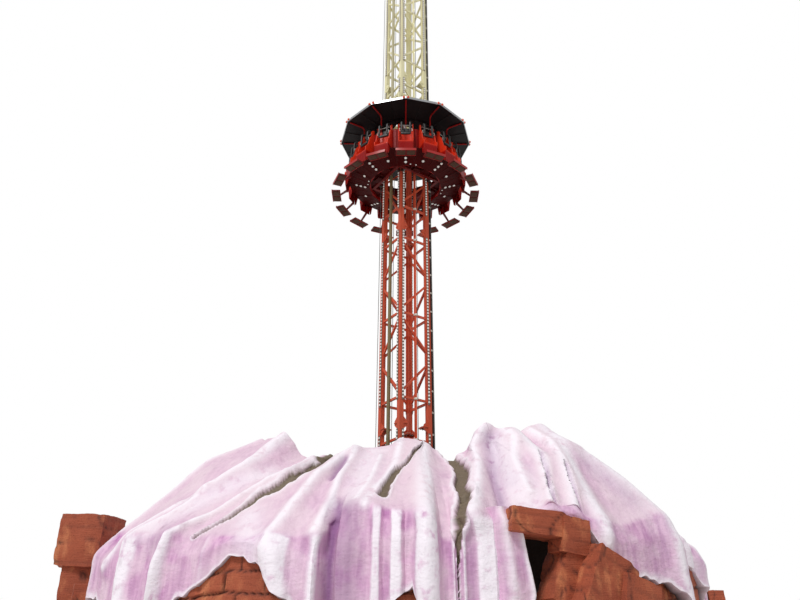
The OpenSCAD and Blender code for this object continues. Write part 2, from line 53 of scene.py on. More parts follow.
class Finish:
    """A finish being mixed: one Principled shader, and short calls that wire nodes to it."""

    def __init__(self, name, roughness, metal=0.0, coat=0.0, shine=0.5):
        self.material = bpy.data.materials.new(name)
        self.material.use_nodes = True
        self.nodes = self.material.node_tree.nodes
        self.links = self.material.node_tree.links
        self.shader = self.nodes["Principled BSDF"]
        looks = {"Roughness": roughness, "Metallic": metal, "Coat Weight": coat, "Specular IOR Level": shine}
        for socket, value in looks.items():
            self.shader.inputs[socket].default_value = value
        self.place = self.node("TexCoord").outputs["Object"]

    def node(self, kind, inputs=(), **settings):
        node = self.nodes.new("ShaderNode" + kind)
        for key, value in settings.items():
            setattr(node, key, value)
        for socket, value in inputs:
            if isinstance(value, bpy.types.NodeSocket):
                self.links.new(value, node.inputs[socket])
            else:
                node.inputs[socket].default_value = value
        return node

    def grain(self, size, stretch=(1, 1, 1), detail=4.0, shift=0.0):
        """Cloudy noise about size metres across, longer along an axis by its stretch."""
        scale = [1 / (size * s) for s in stretch]
        place = self.node("Mapping", [(0, self.place), (1, (shift,) * 3), (3, scale)]).outputs[0]
        return self.node("TexNoise", [("Vector", place), ("Scale", 1.0), ("Detail", detail)]).outputs[0]

    def height(self):
        return self.node("SeparateXYZ", [(0, self.place)]).outputs[2]

    def between(self, value, low, high):
        """0 below low, 1 above high, and a smooth step between them."""
        inputs = [(0, value), (1, low), (2, high)]
        return self.node("MapRange", inputs, interpolation_type="SMOOTHSTEP").outputs[0]

    def sums(self, operation, a, b):
        return self.node("Math", [(0, a), (1, b)], operation=operation).outputs[0]

    def mix(self, share, a, b):
        """Two colours mixed by share. A colour is a socket, or (r, g, b) as on a paint card."""
        a, b = (tint(*c) if isinstance(c, tuple) else c for c in (a, b))
        return self.node("Mix", [(0, share), (6, a), (7, b)], data_type="RGBA").outputs[2]

    def layer(self, share, amount, under, over):
        """A colour laid over another one where share is high, at most by amount."""
        return self.mix(self.sums("MULTIPLY", share, amount), under, over)

    def edges(self, width):
        """1 along a piece's edges, where paint rubs thin, and 0 on its flats."""
        rounded = self.node("Bevel", [("Radius", width)], samples=4).outputs[0]
        flat = self.node("NewGeometry").outputs["Normal"]
        turn = self.node("VectorMath", [(0, rounded), (1, flat)], operation="DOT_PRODUCT").outputs[1]
        return self.between(turn, 0.985, 0.8)

    def field(self, name):
        """A number that the mesh carries at each point."""
        return self.node("Attribute", attribute_name=name).outputs["Fac"]

    def done(self, colour, roughness=None, relief=None, depth=0.001):
        """Wires the colour, the roughness as (low, high, noise) and a bump of the given depth in metres."""
        self.links.new(colour, self.shader.inputs["Base Color"])
        if roughness:
            low, high, value = roughness
            spread = self.node("MapRange", [(0, value), (3, low), (4, high)])
            self.links.new(spread.outputs[0], self.shader.inputs["Roughness"])
        if relief:
            bump = self.node("Bump", [("Height", relief), ("Distance", depth)])
            self.links.new(bump.outputs[0], self.shader.inputs["Normal"])
        return self.material


def flecked(name, roughness, low, high, size, spread=None, depth=0.0, stretch=(1, 1, 1), detail=5.0, fine=None,
            **looks):
    """A finish of two colours mixed by one noise, which also varies its roughness and makes its relief.
    With fine, the size and detail of a second noise, that one makes the relief."""
    mixed = Finish(name, roughness, **looks)
    fleck = mixed.grain(size, stretch, detail)
    relief = mixed.grain(fine[0], detail=fine[1]) if fine else fleck
    return mixed.done(mixed.mix(fleck, low, high), spread and (*spread, fleck), relief if depth else None, depth)


def linked(name, data):
    """An object of the scene with the given data."""
    thing = bpy.data.objects.new(name, data)
    bpy.context.scene.collection.objects.link(thing)
    return thing


def make(name, shape, finish, body, stands_for=(), smooth=35, fields=None):
    """One piece: its mesh, its finish, the body it moves with and the nodes it stands for."""
    points, faces = shape
    mesh = bpy.data.meshes.new(name)
    mesh.from_pydata(np.asarray(points).tolist(), [], faces)
    for field, values in (fields or {}).items():
        mesh.attributes.new(field, "FLOAT", "POINT").data.foreach_set("value", values.astype(np.float32))
    mesh.materials.append(finish)
    if smooth:
        mesh.shade_smooth()
        mesh.set_sharp_from_angle(angle=radians(smooth))
    piece = linked(name, mesh)
    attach(piece, body)
    if stands_for:
        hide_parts(*stands_for)
    return piece


FLOOR_REACH = 260.0
SKY = 0.5
LAMP = 2.0
LAMP_WIDTH = 14
LAMP_AT = (radians(40), 0, radians(-32))
LENS = 30.84
SENSOR = 36.0
CAMERA_AT = (-0.1718, -20.7, 1.6)
CAMERA_TILT = radians(90 + 26.81)
CAMERA_ROLL = radians(0.31)

floor_mesh = bpy.data.meshes.new("studio_floor")
floor_corners = [(x * FLOOR_REACH, y * FLOOR_REACH, 0) for x, y in ((-1, -1), (1, -1), (1, 1), (-1, 1))]
floor_mesh.from_pydata(floor_corners, [], [(0, 1, 2, 3)])
floor_mesh.materials.append(flecked("studio_floor", 0.9, (226, 226, 224), (233, 233, 231), 3.0, detail=4.0))
linked("studio_floor", floor_mesh)

world = bpy.data.worlds.new("studio")
bpy.context.scene.world = world
world.use_nodes = True
sky, rays = world.node_tree.nodes, world.node_tree.links
seen = sky.new("ShaderNodeLightPath")
either = sky.new("ShaderNodeMath")
either.operation = "MAXIMUM"
rays.new(seen.outputs["Is Camera Ray"], either.inputs[0])
rays.new(seen.outputs["Is Transmission Ray"], either.inputs[1])
strength = sky.new("ShaderNodeMapRange")
strength.inputs[3].default_value = SKY
rays.new(either.outputs[0], strength.inputs[0])
rays.new(strength.outputs[0], sky["Background"].inputs["Strength"])
sky["Background"].inputs["Color"].default_value = (1, 1, 1, 1)

lamp = linked("soft_lamp", bpy.data.lights.new("soft_lamp", "SUN"))
lamp.data.energy = LAMP
lamp.data.angle = radians(LAMP_WIDTH)
lamp.rotation_euler = LAMP_AT

camera = linked("camera", bpy.data.cameras.new("camera"))
camera.data.lens = LENS
camera.data.sensor_width = SENSOR
camera.data.clip_end = 2 * FLOOR_REACH
camera.matrix_world = (
    Matrix.Translation(CAMERA_AT) @ Matrix.Rotation(CAMERA_TILT, 4, "X") @ Matrix.Rotation(CAMERA_ROLL, 4, "Z")
)
bpy.context.scene.camera = camera
bpy.context.scene.view_settings.view_transform = "Standard"

# ---- Tower steelwork ----
# Four bolted lengths of box-section legs with flat-bar bracing between them, shot-blasted and painted: red below the
# canopy's resting height and cream above it. The paint is faded in clouds, streaked by rain and rubbed along edges.

TOWER_TURN = 33.75
# The real change from red to cream lies hidden in the gondola; it is put just above the canopy so that the tower in the
# canopy's shadow shows red, partly as painted shade.
PAINT_LINE = 19.3
SECTION_HIGH = 7.0
FIRST_SPLICE = 0.59
SPLICES = [FIRST_SPLICE + SECTION_HIGH * i for i in range(5)]
FLANGE_THICK = 0.0203
BOLT_PLACES = [(0.34, 0.34), (0.34, 0.43), (0.34, 0.525), (0.415, 0.525), (0.43, 0.34), (0.525, 0.34), (0.525, 0.415)]
TO_X = Matrix.Rotation(pi / 2, 4, "Y")
TO_Y = Matrix.Rotation(-pi / 2, 4, "X")
UPSIDE_DOWN = Matrix.Rotation(pi, 4, "X")


def dress(names, finish):
    """Gives carried-over CAD nodes their finish."""
    for name in names:
        if not nodes[name].material_slots:
            nodes[name].data.materials.append(finish)
        for slot in nodes[name].material_slots:
            slot.material = finish


def spin(angle):
    return Matrix.Rotation(radians(angle), 4, "Z")


def tower_side(quarter):
    """Turns a shape drawn on the tower's first face to one of its four faces."""
    return spin(TOWER_TURN + 90 * quarter)


def lathe(profile, segments):
    """A closed turned shape round Z from (radius, height) points, its first and last on the axis."""
    turns = [2 * pi * i / segments for i in range(segments)]
    points = [(0, 0, profile[0][1])]
    for radius, height in profile[1:-1]:
        points += [(radius * cos(t), radius * sin(t), height) for t in turns]
    points.append((0, 0, profile[-1][1]))
    rings = [[1 + ring * segments + i % segments for i in range(segments + 1)] for ring in range(len(profile) - 2)]
    faces = [(0, rings[0][i + 1], rings[0][i]) for i in range(segments)]
    faces += [(low[i], low[i + 1], high[i + 1], high[i]) for low, high in zip(rings, rings[1:])
              for i in range(segments)]
    faces += [(len(points) - 1, rings[-1][i], rings[-1][i + 1]) for i in range(segments)]
    return points, faces


def taken(mesh):
    """The points and faces of a bmesh, which is freed."""
    mesh.verts.index_update()
    shape = [v.co[:] for v in mesh.verts], [[v.index for v in f.verts] for f in mesh.faces]
    mesh.free()
    return shape


def block(low, high, chamfer):
    """A box with chamfered edges and corners."""
    mesh = bmesh.new()
    for corner in np.ndindex(2, 2, 2):
        for axis in range(3):
            inset = [0.0 if i != axis else chamfer for i in range(3)]
            mesh.verts.new([h - d if side else l + d for l, h, side, d in zip(low, high, corner, inset)])
    bmesh.ops.convex_hull(mesh, input=mesh.verts)
    bmesh.ops.dissolve_limit(mesh, angle_limit=0.01, verts=mesh.verts, edges=mesh.edges)
    return taken(mesh)


def copies(shape, places):
    """The shape repeated at each place, as one shape."""
    points, faces = np.asarray(shape[0], float), shape[1]
    moved = [points @ np.array(place)[:3, :3].T + np.array(place)[:3, 3] for place in places]
    count = len(points)
    return np.concatenate(moved), [[v + i * count for v in f] for i in range(len(moved)) for f in faces]


def joined(*shapes):
    points, faces, count = [], [], 0
    for part_points, part_faces in shapes:
        points.append(np.asarray(part_points, float))
        faces += [[v + count for v in f] for f in part_faces]
        count += len(part_points)
    return np.concatenate(points), faces


def painted_steel(name, low, high, roughness=0.42, line=None, above=None, coat=0.0, shine=0.5):
    """Gloss paint on steel: cloudy fading, fine orange peel, rain streaks and bare edges."""
    mixed = Finish(name, roughness, coat=coat, shine=shine)
    fade = mixed.grain(0.8, (1, 1, 3), 5)
    peel = mixed.grain(0.012, detail=3)
    paint = mixed.mix(fade, low, high)
    if line:
        paint = mixed.mix(mixed.between(mixed.height(), line, line + 0.01), paint, mixed.mix(fade, *above))
    streak = mixed.between(mixed.grain(0.05, (1, 1, 24), 6, 3), 0.56, 0.75)
    paint = mixed.layer(streak, 0.3, paint, (84, 48, 38))
    worn = mixed.sums("MULTIPLY", mixed.edges(0.006), mixed.between(mixed.grain(0.04, detail=6, shift=7), 0.45, 0.6))
    paint = mixed.layer(worn, 0.7, paint, (120, 92, 78))
    return mixed.done(paint, (roughness - 0.08, roughness + 0.15, fade), peel, 0.0004)


TOWER_CREAM = (226, 218, 172), (240, 234, 196)
tower_paint = painted_steel("tower_paint", (186, 64, 38), (222, 100, 68), 0.42, PAINT_LINE, TOWER_CREAM, 0.05, 0.3)
dress(["base_frame", "legs_1", "legs_2", "legs_3", "legs_4", "head_frame"], tower_paint)
dress(["side_right_front", "side_left_front", "side_left_back", "side_right_back"], tower_paint)

# Flange bolts, zinc-plated, head above and nut below at every splice.
zinc_plate = flecked("zinc_bolts", 0.38, (150, 148, 140), (196, 194, 186), 0.01, (0.3, 0.55), 0.0003, metal=0.85)
bolt = joined(
    lathe([(0, 0), (0.024, 0), (0.024, 0.004), (0, 0.004)], 14),
    lathe([(0, 0.004), (0.0195, 0.004), (0.0195, 0.017), (0.0165, 0.0195), (0, 0.0195)], 6),
    lathe([(0, 0.0195), (0.0105, 0.0195), (0.0105, 0.028), (0, 0.029)], 8),
)


def bolts_on(spots, turn, size):
    """Bolts of a size on the given points, turned from +Z."""
    return copies(bolt, [Matrix.Translation(spot) @ turn @ Matrix.Scale(size, 4) for spot in spots])


flange_bolts = []
for quarter in range(4):
    for z in SPLICES:
        for x, y in BOLT_PLACES:
            flange_bolts.append(tower_side(quarter) @ Matrix.Translation((x, y, z + FLANGE_THICK)))
            flange_bolts.append(tower_side(quarter) @ Matrix.Translation((x, y, z - FLANGE_THICK)) @ UPSIDE_DOWN)
make("splice_bolts", copies(bolt, flange_bolts), zinc_plate, "structure", smooth=30)

# ---- Leg lamps ----
# Two rows of round lamps on each outer leg, milky polycarbonate caps on a bright aluminium channel that is screwed to
# the leg. Each channel has 55 caps on one tower section.

LAMP_PITCH = 0.11
LAMPS_A_ROW = 55
FIRST_LAMP = 0.08
CHANNEL_FROM = 0.7
RAIL_SIDE = 3  # the brake rail takes one row's place
OTHER_FLANK = Matrix(((0, 1, 0, 0), (1, 0, 0, 0), (0, 0, 1, 0), (0, 0, 0, 1)))
channel = block((0.4535, 0.6048, 0), (0.5265, 0.6235, 6.1), 0.003)
cap = lathe([(0, 0), (0.0350, 0), (0.0350, 0.008), (0.0285, 0.022), (0.016, 0.031), (0, 0.034)], 8)
channels = []
for quarter in range(4):
    for section in SPLICES[:4]:
        flank = tower_side(quarter) @ Matrix.Translation((0, 0, section + CHANNEL_FROM))
        if quarter != RAIL_SIDE:
            channels.append(flank)
        channels.append(flank @ OTHER_FLANK)
lamp_row = [Matrix.Translation((0.49, 0.6234, FIRST_LAMP + LAMP_PITCH * i)) @ TO_Y for i in range(LAMPS_A_ROW)]
caps = [flank @ at for flank in channels for at in lamp_row]


def outward(shape):
    """The shape with all its faces turned outwards."""
    mesh = bmesh.new()
    for point in shape[0]:
        mesh.verts.new(point)
    mesh.verts.ensure_lookup_table()
    for face in shape[1]:
        mesh.faces.new([mesh.verts[i] for i in face])
    bmesh.ops.recalc_face_normals(mesh, faces=mesh.faces)
    return taken(mesh)


bright_channel = flecked("lamp_channel", 0.5, (112, 96, 88), (140, 124, 114), 0.006, (0.35, 0.6), 0.0003,
                         stretch=(1, 1, 30), detail=4, metal=0.2)
milky = Finish("lamp_caps", 0.22, coat=0.4)
milky_white = milky.mix(milky.grain(0.3, detail=5), (244, 242, 234), (253, 252, 248))
milky_cap = milky.done(milky_white, (0.16, 0.34, milky.grain(0.05)))
make("lamp_channels", outward(copies(channel, channels)), bright_channel, "structure")
make("lamp_caps", outward(copies(cap, caps)), milky_cap, "structure", smooth=50)

# ---- Services on the tower ----
# A folded sheet duct with joint sleeves, a red air pipe in saddle clamps, the dark brake rail with pale fixing pads,
# and two hoist ropes of twisted steel wire over turned head sheaves.

duct_cream = (176, 168, 136), (200, 192, 160)
duct_paint = painted_steel("duct_paint", (112, 96, 64), (138, 120, 84), 0.5, PAINT_LINE, duct_cream, 0.12, 0.3)
rail_paint = painted_steel("rail_steel", (30, 20, 18), (52, 36, 32), 0.5, shine=0.25)
dress(["cable_duct"], duct_paint)
dress(["air_pipe"], tower_paint)
dress(["brake_rail", "head_sheaves"], rail_paint)
sleeve = block((-0.064, 0.5852, -0.03), (0.064, 0.6495, 0.03), 0.002)
sleeve_places = [tower_side(1) @ Matrix.Translation((0, 0, 1.2 + z)) for z in range(27)]
make("duct_sleeves", copies(sleeve, sleeve_places), duct_paint, "structure")
clamp = joined(
    lathe([(0, -0.035), (0.040, -0.035), (0.046, -0.028), (0.046, 0.028), (0.040, 0.035), (0, 0.035)], 20),
    block((-0.075, -0.0262, -0.03), (0.075, -0.0182, 0.03), 0.001),
    bolts_on([(x, -0.0182, 0) for x in (-0.062, 0.062)], TO_Y, 0.4),
)
clamp_heights = [z + 0.81 + 2.86 * panel for z in SPLICES[:4] for panel in range(3)]
clamp_places = [tower_side(2) @ Matrix.Translation((0, 0.6233, z)) for z in clamp_heights]
clamp_finish = painted_steel("clamp_paint", (206, 198, 184), (232, 226, 214), 0.45, coat=0.12)
make("pipe_clamps", outward(copies(clamp, clamp_places)), clamp_finish, "structure")
pad_faces = ((-0.5255, -0.5325), (-0.4045, -0.3975))
pad = joined(*[block((0.6195, near, -0.03), (0.7650, far, 0.03), 0.001) for near, far in pad_faces])
pad_finish = flecked("fixing_pads", 0.6, (206, 200, 188), (228, 224, 214), 0.05, (0.5, 0.7), 0.0004)
pad_places = [tower_side(0) @ Matrix.Translation((0, 0, 1.1 + 0.7 * z)) for z in range(38)]
make("rail_pads", outward(copies(pad, pad_places)), pad_finish, "structure")
wire = Finish("twisted_wire", 0.55, metal=0.4)
twist = wire.node("Mapping", [(0, wire.place), (2, (0.6, 0.6, 0))]).outputs[0]
waves = wire.node("TexWave", [("Vector", twist), ("Scale", 45.0), ("Distortion", 0.4)], bands_direction="DIAGONAL")
strands = waves.outputs["Fac"]
wire_finish = wire.done(wire.mix(strands, (58, 56, 54), (140, 138, 132)), (0.35, 0.6, strands), strands, 0.002)
dress(["hoist_ropes"], wire_finish)

# ---- Station floor ----
# A power-floated concrete slab inside the walls, with a cut-out round the tower's base. Its surface is worn smooth
# and marked by shoes.

slab = Finish("station_concrete", 0.8)
slab_cloud = slab.grain(1.2, detail=7)
slab_pores = slab.grain(0.02, detail=6)
slab_colour = slab.mix(slab_cloud, (116, 114, 108), (146, 143, 136))
slab_colour = slab.mix(slab.between(slab_pores, 0.62, 0.75), slab_colour, (84, 82, 78))
dress(["station_floor"], slab.done(slab_colour, (0.6, 0.88, slab_cloud), slab_pores, 0.001))

# ---- Rock walls ----
# Hollow walls of carved render on steel mesh, in courses of big weathered blocks with tool marks across them. They
# are stained red-brown, darker in the joints, and carry the mantle; behind the raised hem they run on up under it.

MOUND_WIDE, MOUND_DEEP = 7.7, 6.3
WALL_HIGH = 2.1997
WALL_THICK = 0.32
COURSE_HIGH = 0.42
BLOCK_LONG = 0.95
JOINT_WIDE = 0.022
COURSE_R = 7.0  # radius at which the blocks have their true length
# how high the rock runs behind the hem: angle from the front, and height
HEM_TOPS = np.array([
    [-180, 2.2], [-95, 2.2], [-90, 2.4], [-84, 2.6], [-78, 2.75], [-72, 2.75], [-68, 2.5], [-60, 2.2], [-47, 2.2],
    [-45, 2.7], [-38, 2.9], [-35, 3.3], [-30, 3.45], [-26, 3.25], [-22, 2.75], [-18, 2.2], [-3, 2.5], [2, 2.8],
    [4, 2.2], [34, 3.9], [37, 3.3], [46, 3.1], [56, 2.9], [59, 3.5], [66, 3.5], [72, 3.1], [80, 2.6], [90, 2.2],
    [180, 2.2],
])


def wall_radius(angle):
    angle = np.radians(angle)
    return 1 / np.sqrt((np.sin(angle) / MOUND_WIDE) ** 2 + (np.cos(angle) / MOUND_DEEP) ** 2)


def around(angle, radius, height):
    """Points at angles from the front, radii and heights."""
    angle = np.radians(angle)
    return np.stack([radius * np.sin(angle), -radius * np.cos(angle), height], -1)


def by_angle(table, angle, column=1):
    """A column of a table by angle, for angles all the way round."""
    return np.interp((np.asarray(angle) + 180) % 360 - 180, table[:, 0], table[:, column])


def wrapped(ring, inward=False):
    """A closed shape from rows of points that each run once round it, with a cap on its first and last row.
    inward is for rows that run the other way round."""
    rows, across = ring.shape[:2]
    at = np.arange(rows * across).reshape(rows, across)
    beside = np.roll(at, -1, axis=1)
    corners = [at[:-1], beside[:-1], beside[1:], at[1:]]
    caps = [at[0, ::-1].tolist(), at[-1].tolist()]
    if inward:
        corners = corners[:1] + corners[:0:-1]
        caps = [cap[::-1] for cap in caps]
    return ring.reshape(-1, 3), np.stack(corners, -1).reshape(-1, 4).tolist() + caps


def lumps(points, size, seed):
    """Soft lumps, -1 to 1, about size metres across."""
    shape = points.shape[:-1]
    shift = Vector((seed * 7.3, seed * 3.1, seed * 5.7))
    flat = [noise.noise(Vector(p) / size + shift) for p in points.reshape(-1, 3)]
    return np.array(flat).reshape(shape)


def smooth_step(value, low, high):
    share = np.clip((value - low) / (high - low), 0, 1)
    return share * share * (3 - 2 * share)


HASH_STEPS, HASH_SHIFT, HASH_SPREAD = (12.9898, 78.233), 3.7, 43758.5453


def chance(a, b):
    """A fixed number from 0 to 1 for each pair."""
    return np.sin(a * HASH_STEPS[0] + b * HASH_STEPS[1] + HASH_SHIFT) * HASH_SPREAD % 1


def courses(points, along, high, long, seed):
    """Relief of coursed blocks, and how deep each point lies in a joint."""
    rise = points[..., 2] + 0.10 * lumps(points, 1.1, seed) + 0.03 * lumps(points, 0.3, seed + 1)
    row = np.floor(rise / high)
    shift = along + long * chance(row, seed) + 0.09 * lumps(points, 0.7, seed + 2)
    span = long * (0.75 + 0.5 * chance(row, seed + 5))
    column = np.floor(shift / span)
    from_row = np.abs((rise / high + 0.5) % 1 - 0.5) * high
    from_column = np.abs((shift / span + 0.5) % 1 - 0.5) * span
    gap = np.minimum(from_row, from_column * 1.2)
    joint = np.exp(-(gap / JOINT_WIDE) ** 2)
    proud = chance(row + 13 * seed, column) - 0.4
    lean = (chance(column, row + seed) - 0.5) * ((rise / high) % 1 - 0.5)
    strata = np.abs((rise * 7.3 + 0.8 * lumps(points, 0.5, seed + 3)) % 1 - 0.5) * 2
    relief = 0.10 * proud * smooth_step(gap, 0.0, 0.06) + 0.05 * lean - 0.075 * joint + 0.012 * strata
    return relief + 0.022 * lumps(points, 0.16, seed + 4) + 0.03 * lumps(points, 0.6, seed + 6), joint


rock = Finish("carved_rock", 0.78)
rock_cloud = rock.grain(0.9, detail=6)
rock_grit = rock.grain(0.03, detail=8)
rock_marks = rock.grain(0.05, (6, 6, 0.45), 6, 2)
rock_stain = rock.grain(0.35, (1, 1, 2.5), 6, 8)
rock_base = rock.mix(rock_cloud, (128, 54, 34), (182, 92, 58))
rock_base = rock.mix(rock.between(rock_stain, 0.5, 0.72), rock_base, (196, 116, 76))
rock_base = rock.layer(rock.between(rock_grit, 0.5, 0.75), 0.5, rock_base, (92, 38, 28))
rock_base = rock.layer(rock.field("joint"), 0.85, rock_base, (52, 24, 20))
rock_relief = rock.sums("ADD", rock_marks, rock.sums("MULTIPLY", rock_grit, 0.5))
rock_paint = rock.done(rock_base, (0.65, 0.92, rock_grit), rock_relief, 0.016)


def wall_piece(name, start, end, step):
    """One length of the wall between two angles, carved outside, plain inside."""
    angles = np.linspace(start, end, round((end - start) / step) + 1)
    turn, level = np.meshgrid(angles, np.linspace(0, 1, 70), indexing="ij")
    height = level * np.maximum(WALL_HIGH, by_angle(HEM_TOPS, turn))
    plain = around(turn, wall_radius(turn), height)
    relief, joint = courses(plain, np.radians(turn) * COURSE_R, COURSE_HIGH, BLOCK_LONG, 3)
    foot = 0.06 * smooth_step(-height, -0.5, 0)
    under = smooth_step(height, 1.3, 1.7)
    lift = np.clip(0.05 + foot + relief * (1 - 0.35 * under), -0.06, 0.16)
    skin = around(turn, wall_radius(turn) + lift, height)
    turn_in, level_in = np.meshgrid(angles, np.linspace(1, 0, 4), indexing="ij")
    height_in = level_in * np.maximum(WALL_HIGH, by_angle(HEM_TOPS, turn_in))
    inside = around(turn_in, wall_radius(turn_in) - WALL_THICK, height_in)
    shape = wrapped(np.concatenate([skin, inside], axis=1), inward=True)
    shade = np.concatenate([joint, np.zeros(inside.shape[:2])], axis=1).ravel()
    make(name, shape, rock_paint, "structure", [name], 45, {"joint": shade})


for name, start, end, step in [
    ("wall_front", -30, 15, 0.3), ("wall_right_front", 30, 75, 0.3), ("wall_right", 75, 120, 0.4),
    ("wall_back", 120, 240, 0.75), ("wall_left", -120, -75, 0.4), ("wall_left_front", -75, -30, 0.3),
]:
    wall_piece(name, start, end, step)

# ---- Boulders and the cave ----
# Single carved blocks, made like the walls and stacked against them: a leaning stack on the left, the cave mouth with
# its slab lintel and tilted buttress slabs on the right, and a low shoulder of rock beyond.


def cube_grid(cuts):
    """A subdivided cube from -1 to 1, the ball that its points go to, and its faces."""
    mesh = bmesh.new()
    bmesh.ops.create_cube(mesh, size=2)
    bmesh.ops.subdivide_edges(mesh, edges=mesh.edges, cuts=cuts, use_grid_fill=True)
    points, faces = taken(mesh)
    unit = np.array(points)
    a, b = np.roll(unit, -1, axis=1) ** 2, np.roll(unit, -2, axis=1) ** 2
    return unit, unit * np.sqrt(1 - a / 2 - b / 2 + a * b / 3), faces


def boulder(low, high, lean, seed, round_off=0.12, cuts=15):
    """A weathered block between two corners, leaning by degrees about X, Y and Z."""
    low, high = np.array(low, float), np.array(high, float)
    middle, half = (low + high) / 2, (high - low) / 2
    unit, ball, faces = cube_grid(cuts)
    out = ball / np.linalg.norm(ball, axis=1, keepdims=True)
    points = (unit * (1 - round_off) + ball * round_off) * half
    place = points + seed * 3.3
    rise = points[:, 2] + 0.05 * lumps(place, 0.5, seed)
    strata = np.abs((rise / 0.23 + seed * 0.31) % 1 - 0.5) * 2
    groove = np.exp(-((1 - strata) / 0.16) ** 2) * (np.abs(out[:, 2]) < 0.75)
    crack = np.exp(-(lumps(place, 0.8, seed + 7) / 0.022) ** 2)
    chips = 0.035 * lumps(place, 0.45, seed + 2) + 0.012 * lumps(place, 0.14, seed + 4)
    points += out * (chips - 0.012 * groove - 0.025 * crack)[:, None]
    about_x, about_y, about_z = (Matrix.Rotation(radians(turn), 3, axis) for turn, axis in zip(lean, "XYZ"))
    points = points @ np.array(about_z @ about_y @ about_x).T + middle
    points[:, 2] = np.maximum(points[:, 2], 0.0)
    return points, faces, np.clip(groove * 0.3 + crack * 0.8, 0, 1)


def on_wall(angle, points):
    """Points drawn with X outwards, Y along the wall and their zero on its face, set there."""
    a = radians(angle)
    facing = atan2(sin(a) / MOUND_WIDE ** 2, cos(a) / MOUND_DEEP ** 2)
    turn = np.array(Matrix.Rotation(facing - pi / 2, 3, "Z"))
    return points @ turn.T + around(angle, float(wall_radius(angle)), 0.0)


def rock_pile(name, blocks):
    """A node's blocks, each drawn on the wall at an angle, or straight in place without one."""
    shapes, shades = [], []
    for angle, *block_data in blocks:
        points, faces, joint = boulder(*block_data)
        shapes.append((points if angle is None else on_wall(angle, points), faces))
        shades.append(joint)
    make(name, joined(*shapes), rock_paint, "structure", [name], 50, {"joint": np.concatenate(shades)})


rock_pile("left_rocks", [
    (None, (-9.0, -0.75, 0.0), (-7.72, 0.7, 1.35), (0, 0, 3), 1),
    (None, (-9.15, -1.15, 1.2), (-7.95, 0.05, 2.5), (0, 3, -4), 2),
    (None, (-8.95, -0.05, 1.25), (-7.9, 0.8, 2.35), (2, 0, 6), 3),
    (None, (-9.25, -1.1, 2.35), (-8.15, 0.6, 3.55), (0, -2, 5), 4),
    (None, (-9.40, -1.30, 3.45), (-8.12, 0.15, 4.86), (2, 1, -4), 5, 0.16),
    (None, (-8.75, -2.3, 0.0), (-7.7, -0.95, 1.9), (0, 4, 18), 6),
    (None, (-8.5, -2.15, 1.8), (-7.75, -1.1, 3.0), (3, 0, 24), 7),
    (None, (-8.6, 0.5, 0.0), (-7.7, 1.6, 1.6), (0, 4, -12), 8),
])
rock_pile("cave_rock", [
    (16.4, (-0.34, -0.28, 0.0), (0.17, 0.24, 2.3), (0, 0, 0), 11),
    (16.2, (-0.34, -0.26, 2.2), (0.17, 0.22, 3.75), (0, 0, 0), 12),
    (22.5, (-0.34, -0.78, 3.6), (0.12, 0.78, 4.06), (0, 0, 0), 16, 0.08),
    (22.7, (-0.20, -0.60, 3.60), (0.56, 0.60, 4.10), (-5, 0, 0), 18, 0.07, 20),
    (29.0, (-0.34, -0.32, 0.0), (0.45, 0.34, 1.3), (0, 0, 2), 13),
    (28.9, (-0.34, -0.36, 1.2), (0.46, 0.36, 2.5), (-12, 0, 0), 14, 0.08),
    (28.7, (-0.30, -0.36, 2.2), (0.50, 0.42, 3.35), (-26, 0, 0), 15, 0.08),
])
rock_pile("buttress_rock", [
    (33.5, (0.02, -0.62, 0.0), (0.95, 0.5, 1.15), (0, 0, 4), 21),
    (33.2, (0.05, -0.55, 1.05), (0.9, 0.5, 2.2), (-12, 0, -3), 22, 0.08),
    (32.6, (0.10, -0.46, 2.0), (0.88, 0.62, 3.3), (-26, 2, 5), 23, 0.06, 20),
    (28.9, (0.02, -0.28, 3.25), (0.60, 0.34, 3.98), (-8, 3, 0), 24, 0.08),
    (38.8, (0.05, -0.55, 0.0), (1.1, 0.6, 1.5), (0, 0, -3), 25),
    (37.6, (0.10, -0.5, 1.4), (0.98, 0.5, 2.85), (-14, 0, 4), 26, 0.08),
    (44.0, (0.02, -0.5, 0.0), (0.85, 0.55, 1.2), (0, 0, 4), 27),
    (43.6, (0.08, -0.45, 1.1), (0.72, 0.5, 2.2), (5, 0, 0), 28),
])
rock_pile("right_rock", [
    (84.0, (0.0, -0.6, 0.0), (0.82, 0.55, 1.3), (0, 0, 4), 31),
    (89.5, (0.0, -0.45, 0.0), (0.70, 0.5, 1.55), (0, 0, -5), 32),
    (86.0, (0.30, -0.5, 1.2), (0.82, 0.45, 2.2), (4, 0, 0), 33),
    (85.5, (0.36, -0.42, 2.1), (0.80, 0.4, 2.95), (-5, 0, 6), 34),
])

# ---- Lava mantle ----
# A shell of mesh-reinforced render, sprayed and trowelled over a welded frame in seven lengths, so that it looks like
# lava running out of a crater and down over the rocks. Airbrushed pink, laid deeper in the hollows and on the drapes as
# painted shade; white on the ridges, with painted highlights on the broad sheets; dark purple painted shade in the
# creases, slits and recesses, and dark brown-grey painted shade on the inside of the shell. The bare grey-brown render
# shows in the cracks.

MANTLE_THICK = 0.16
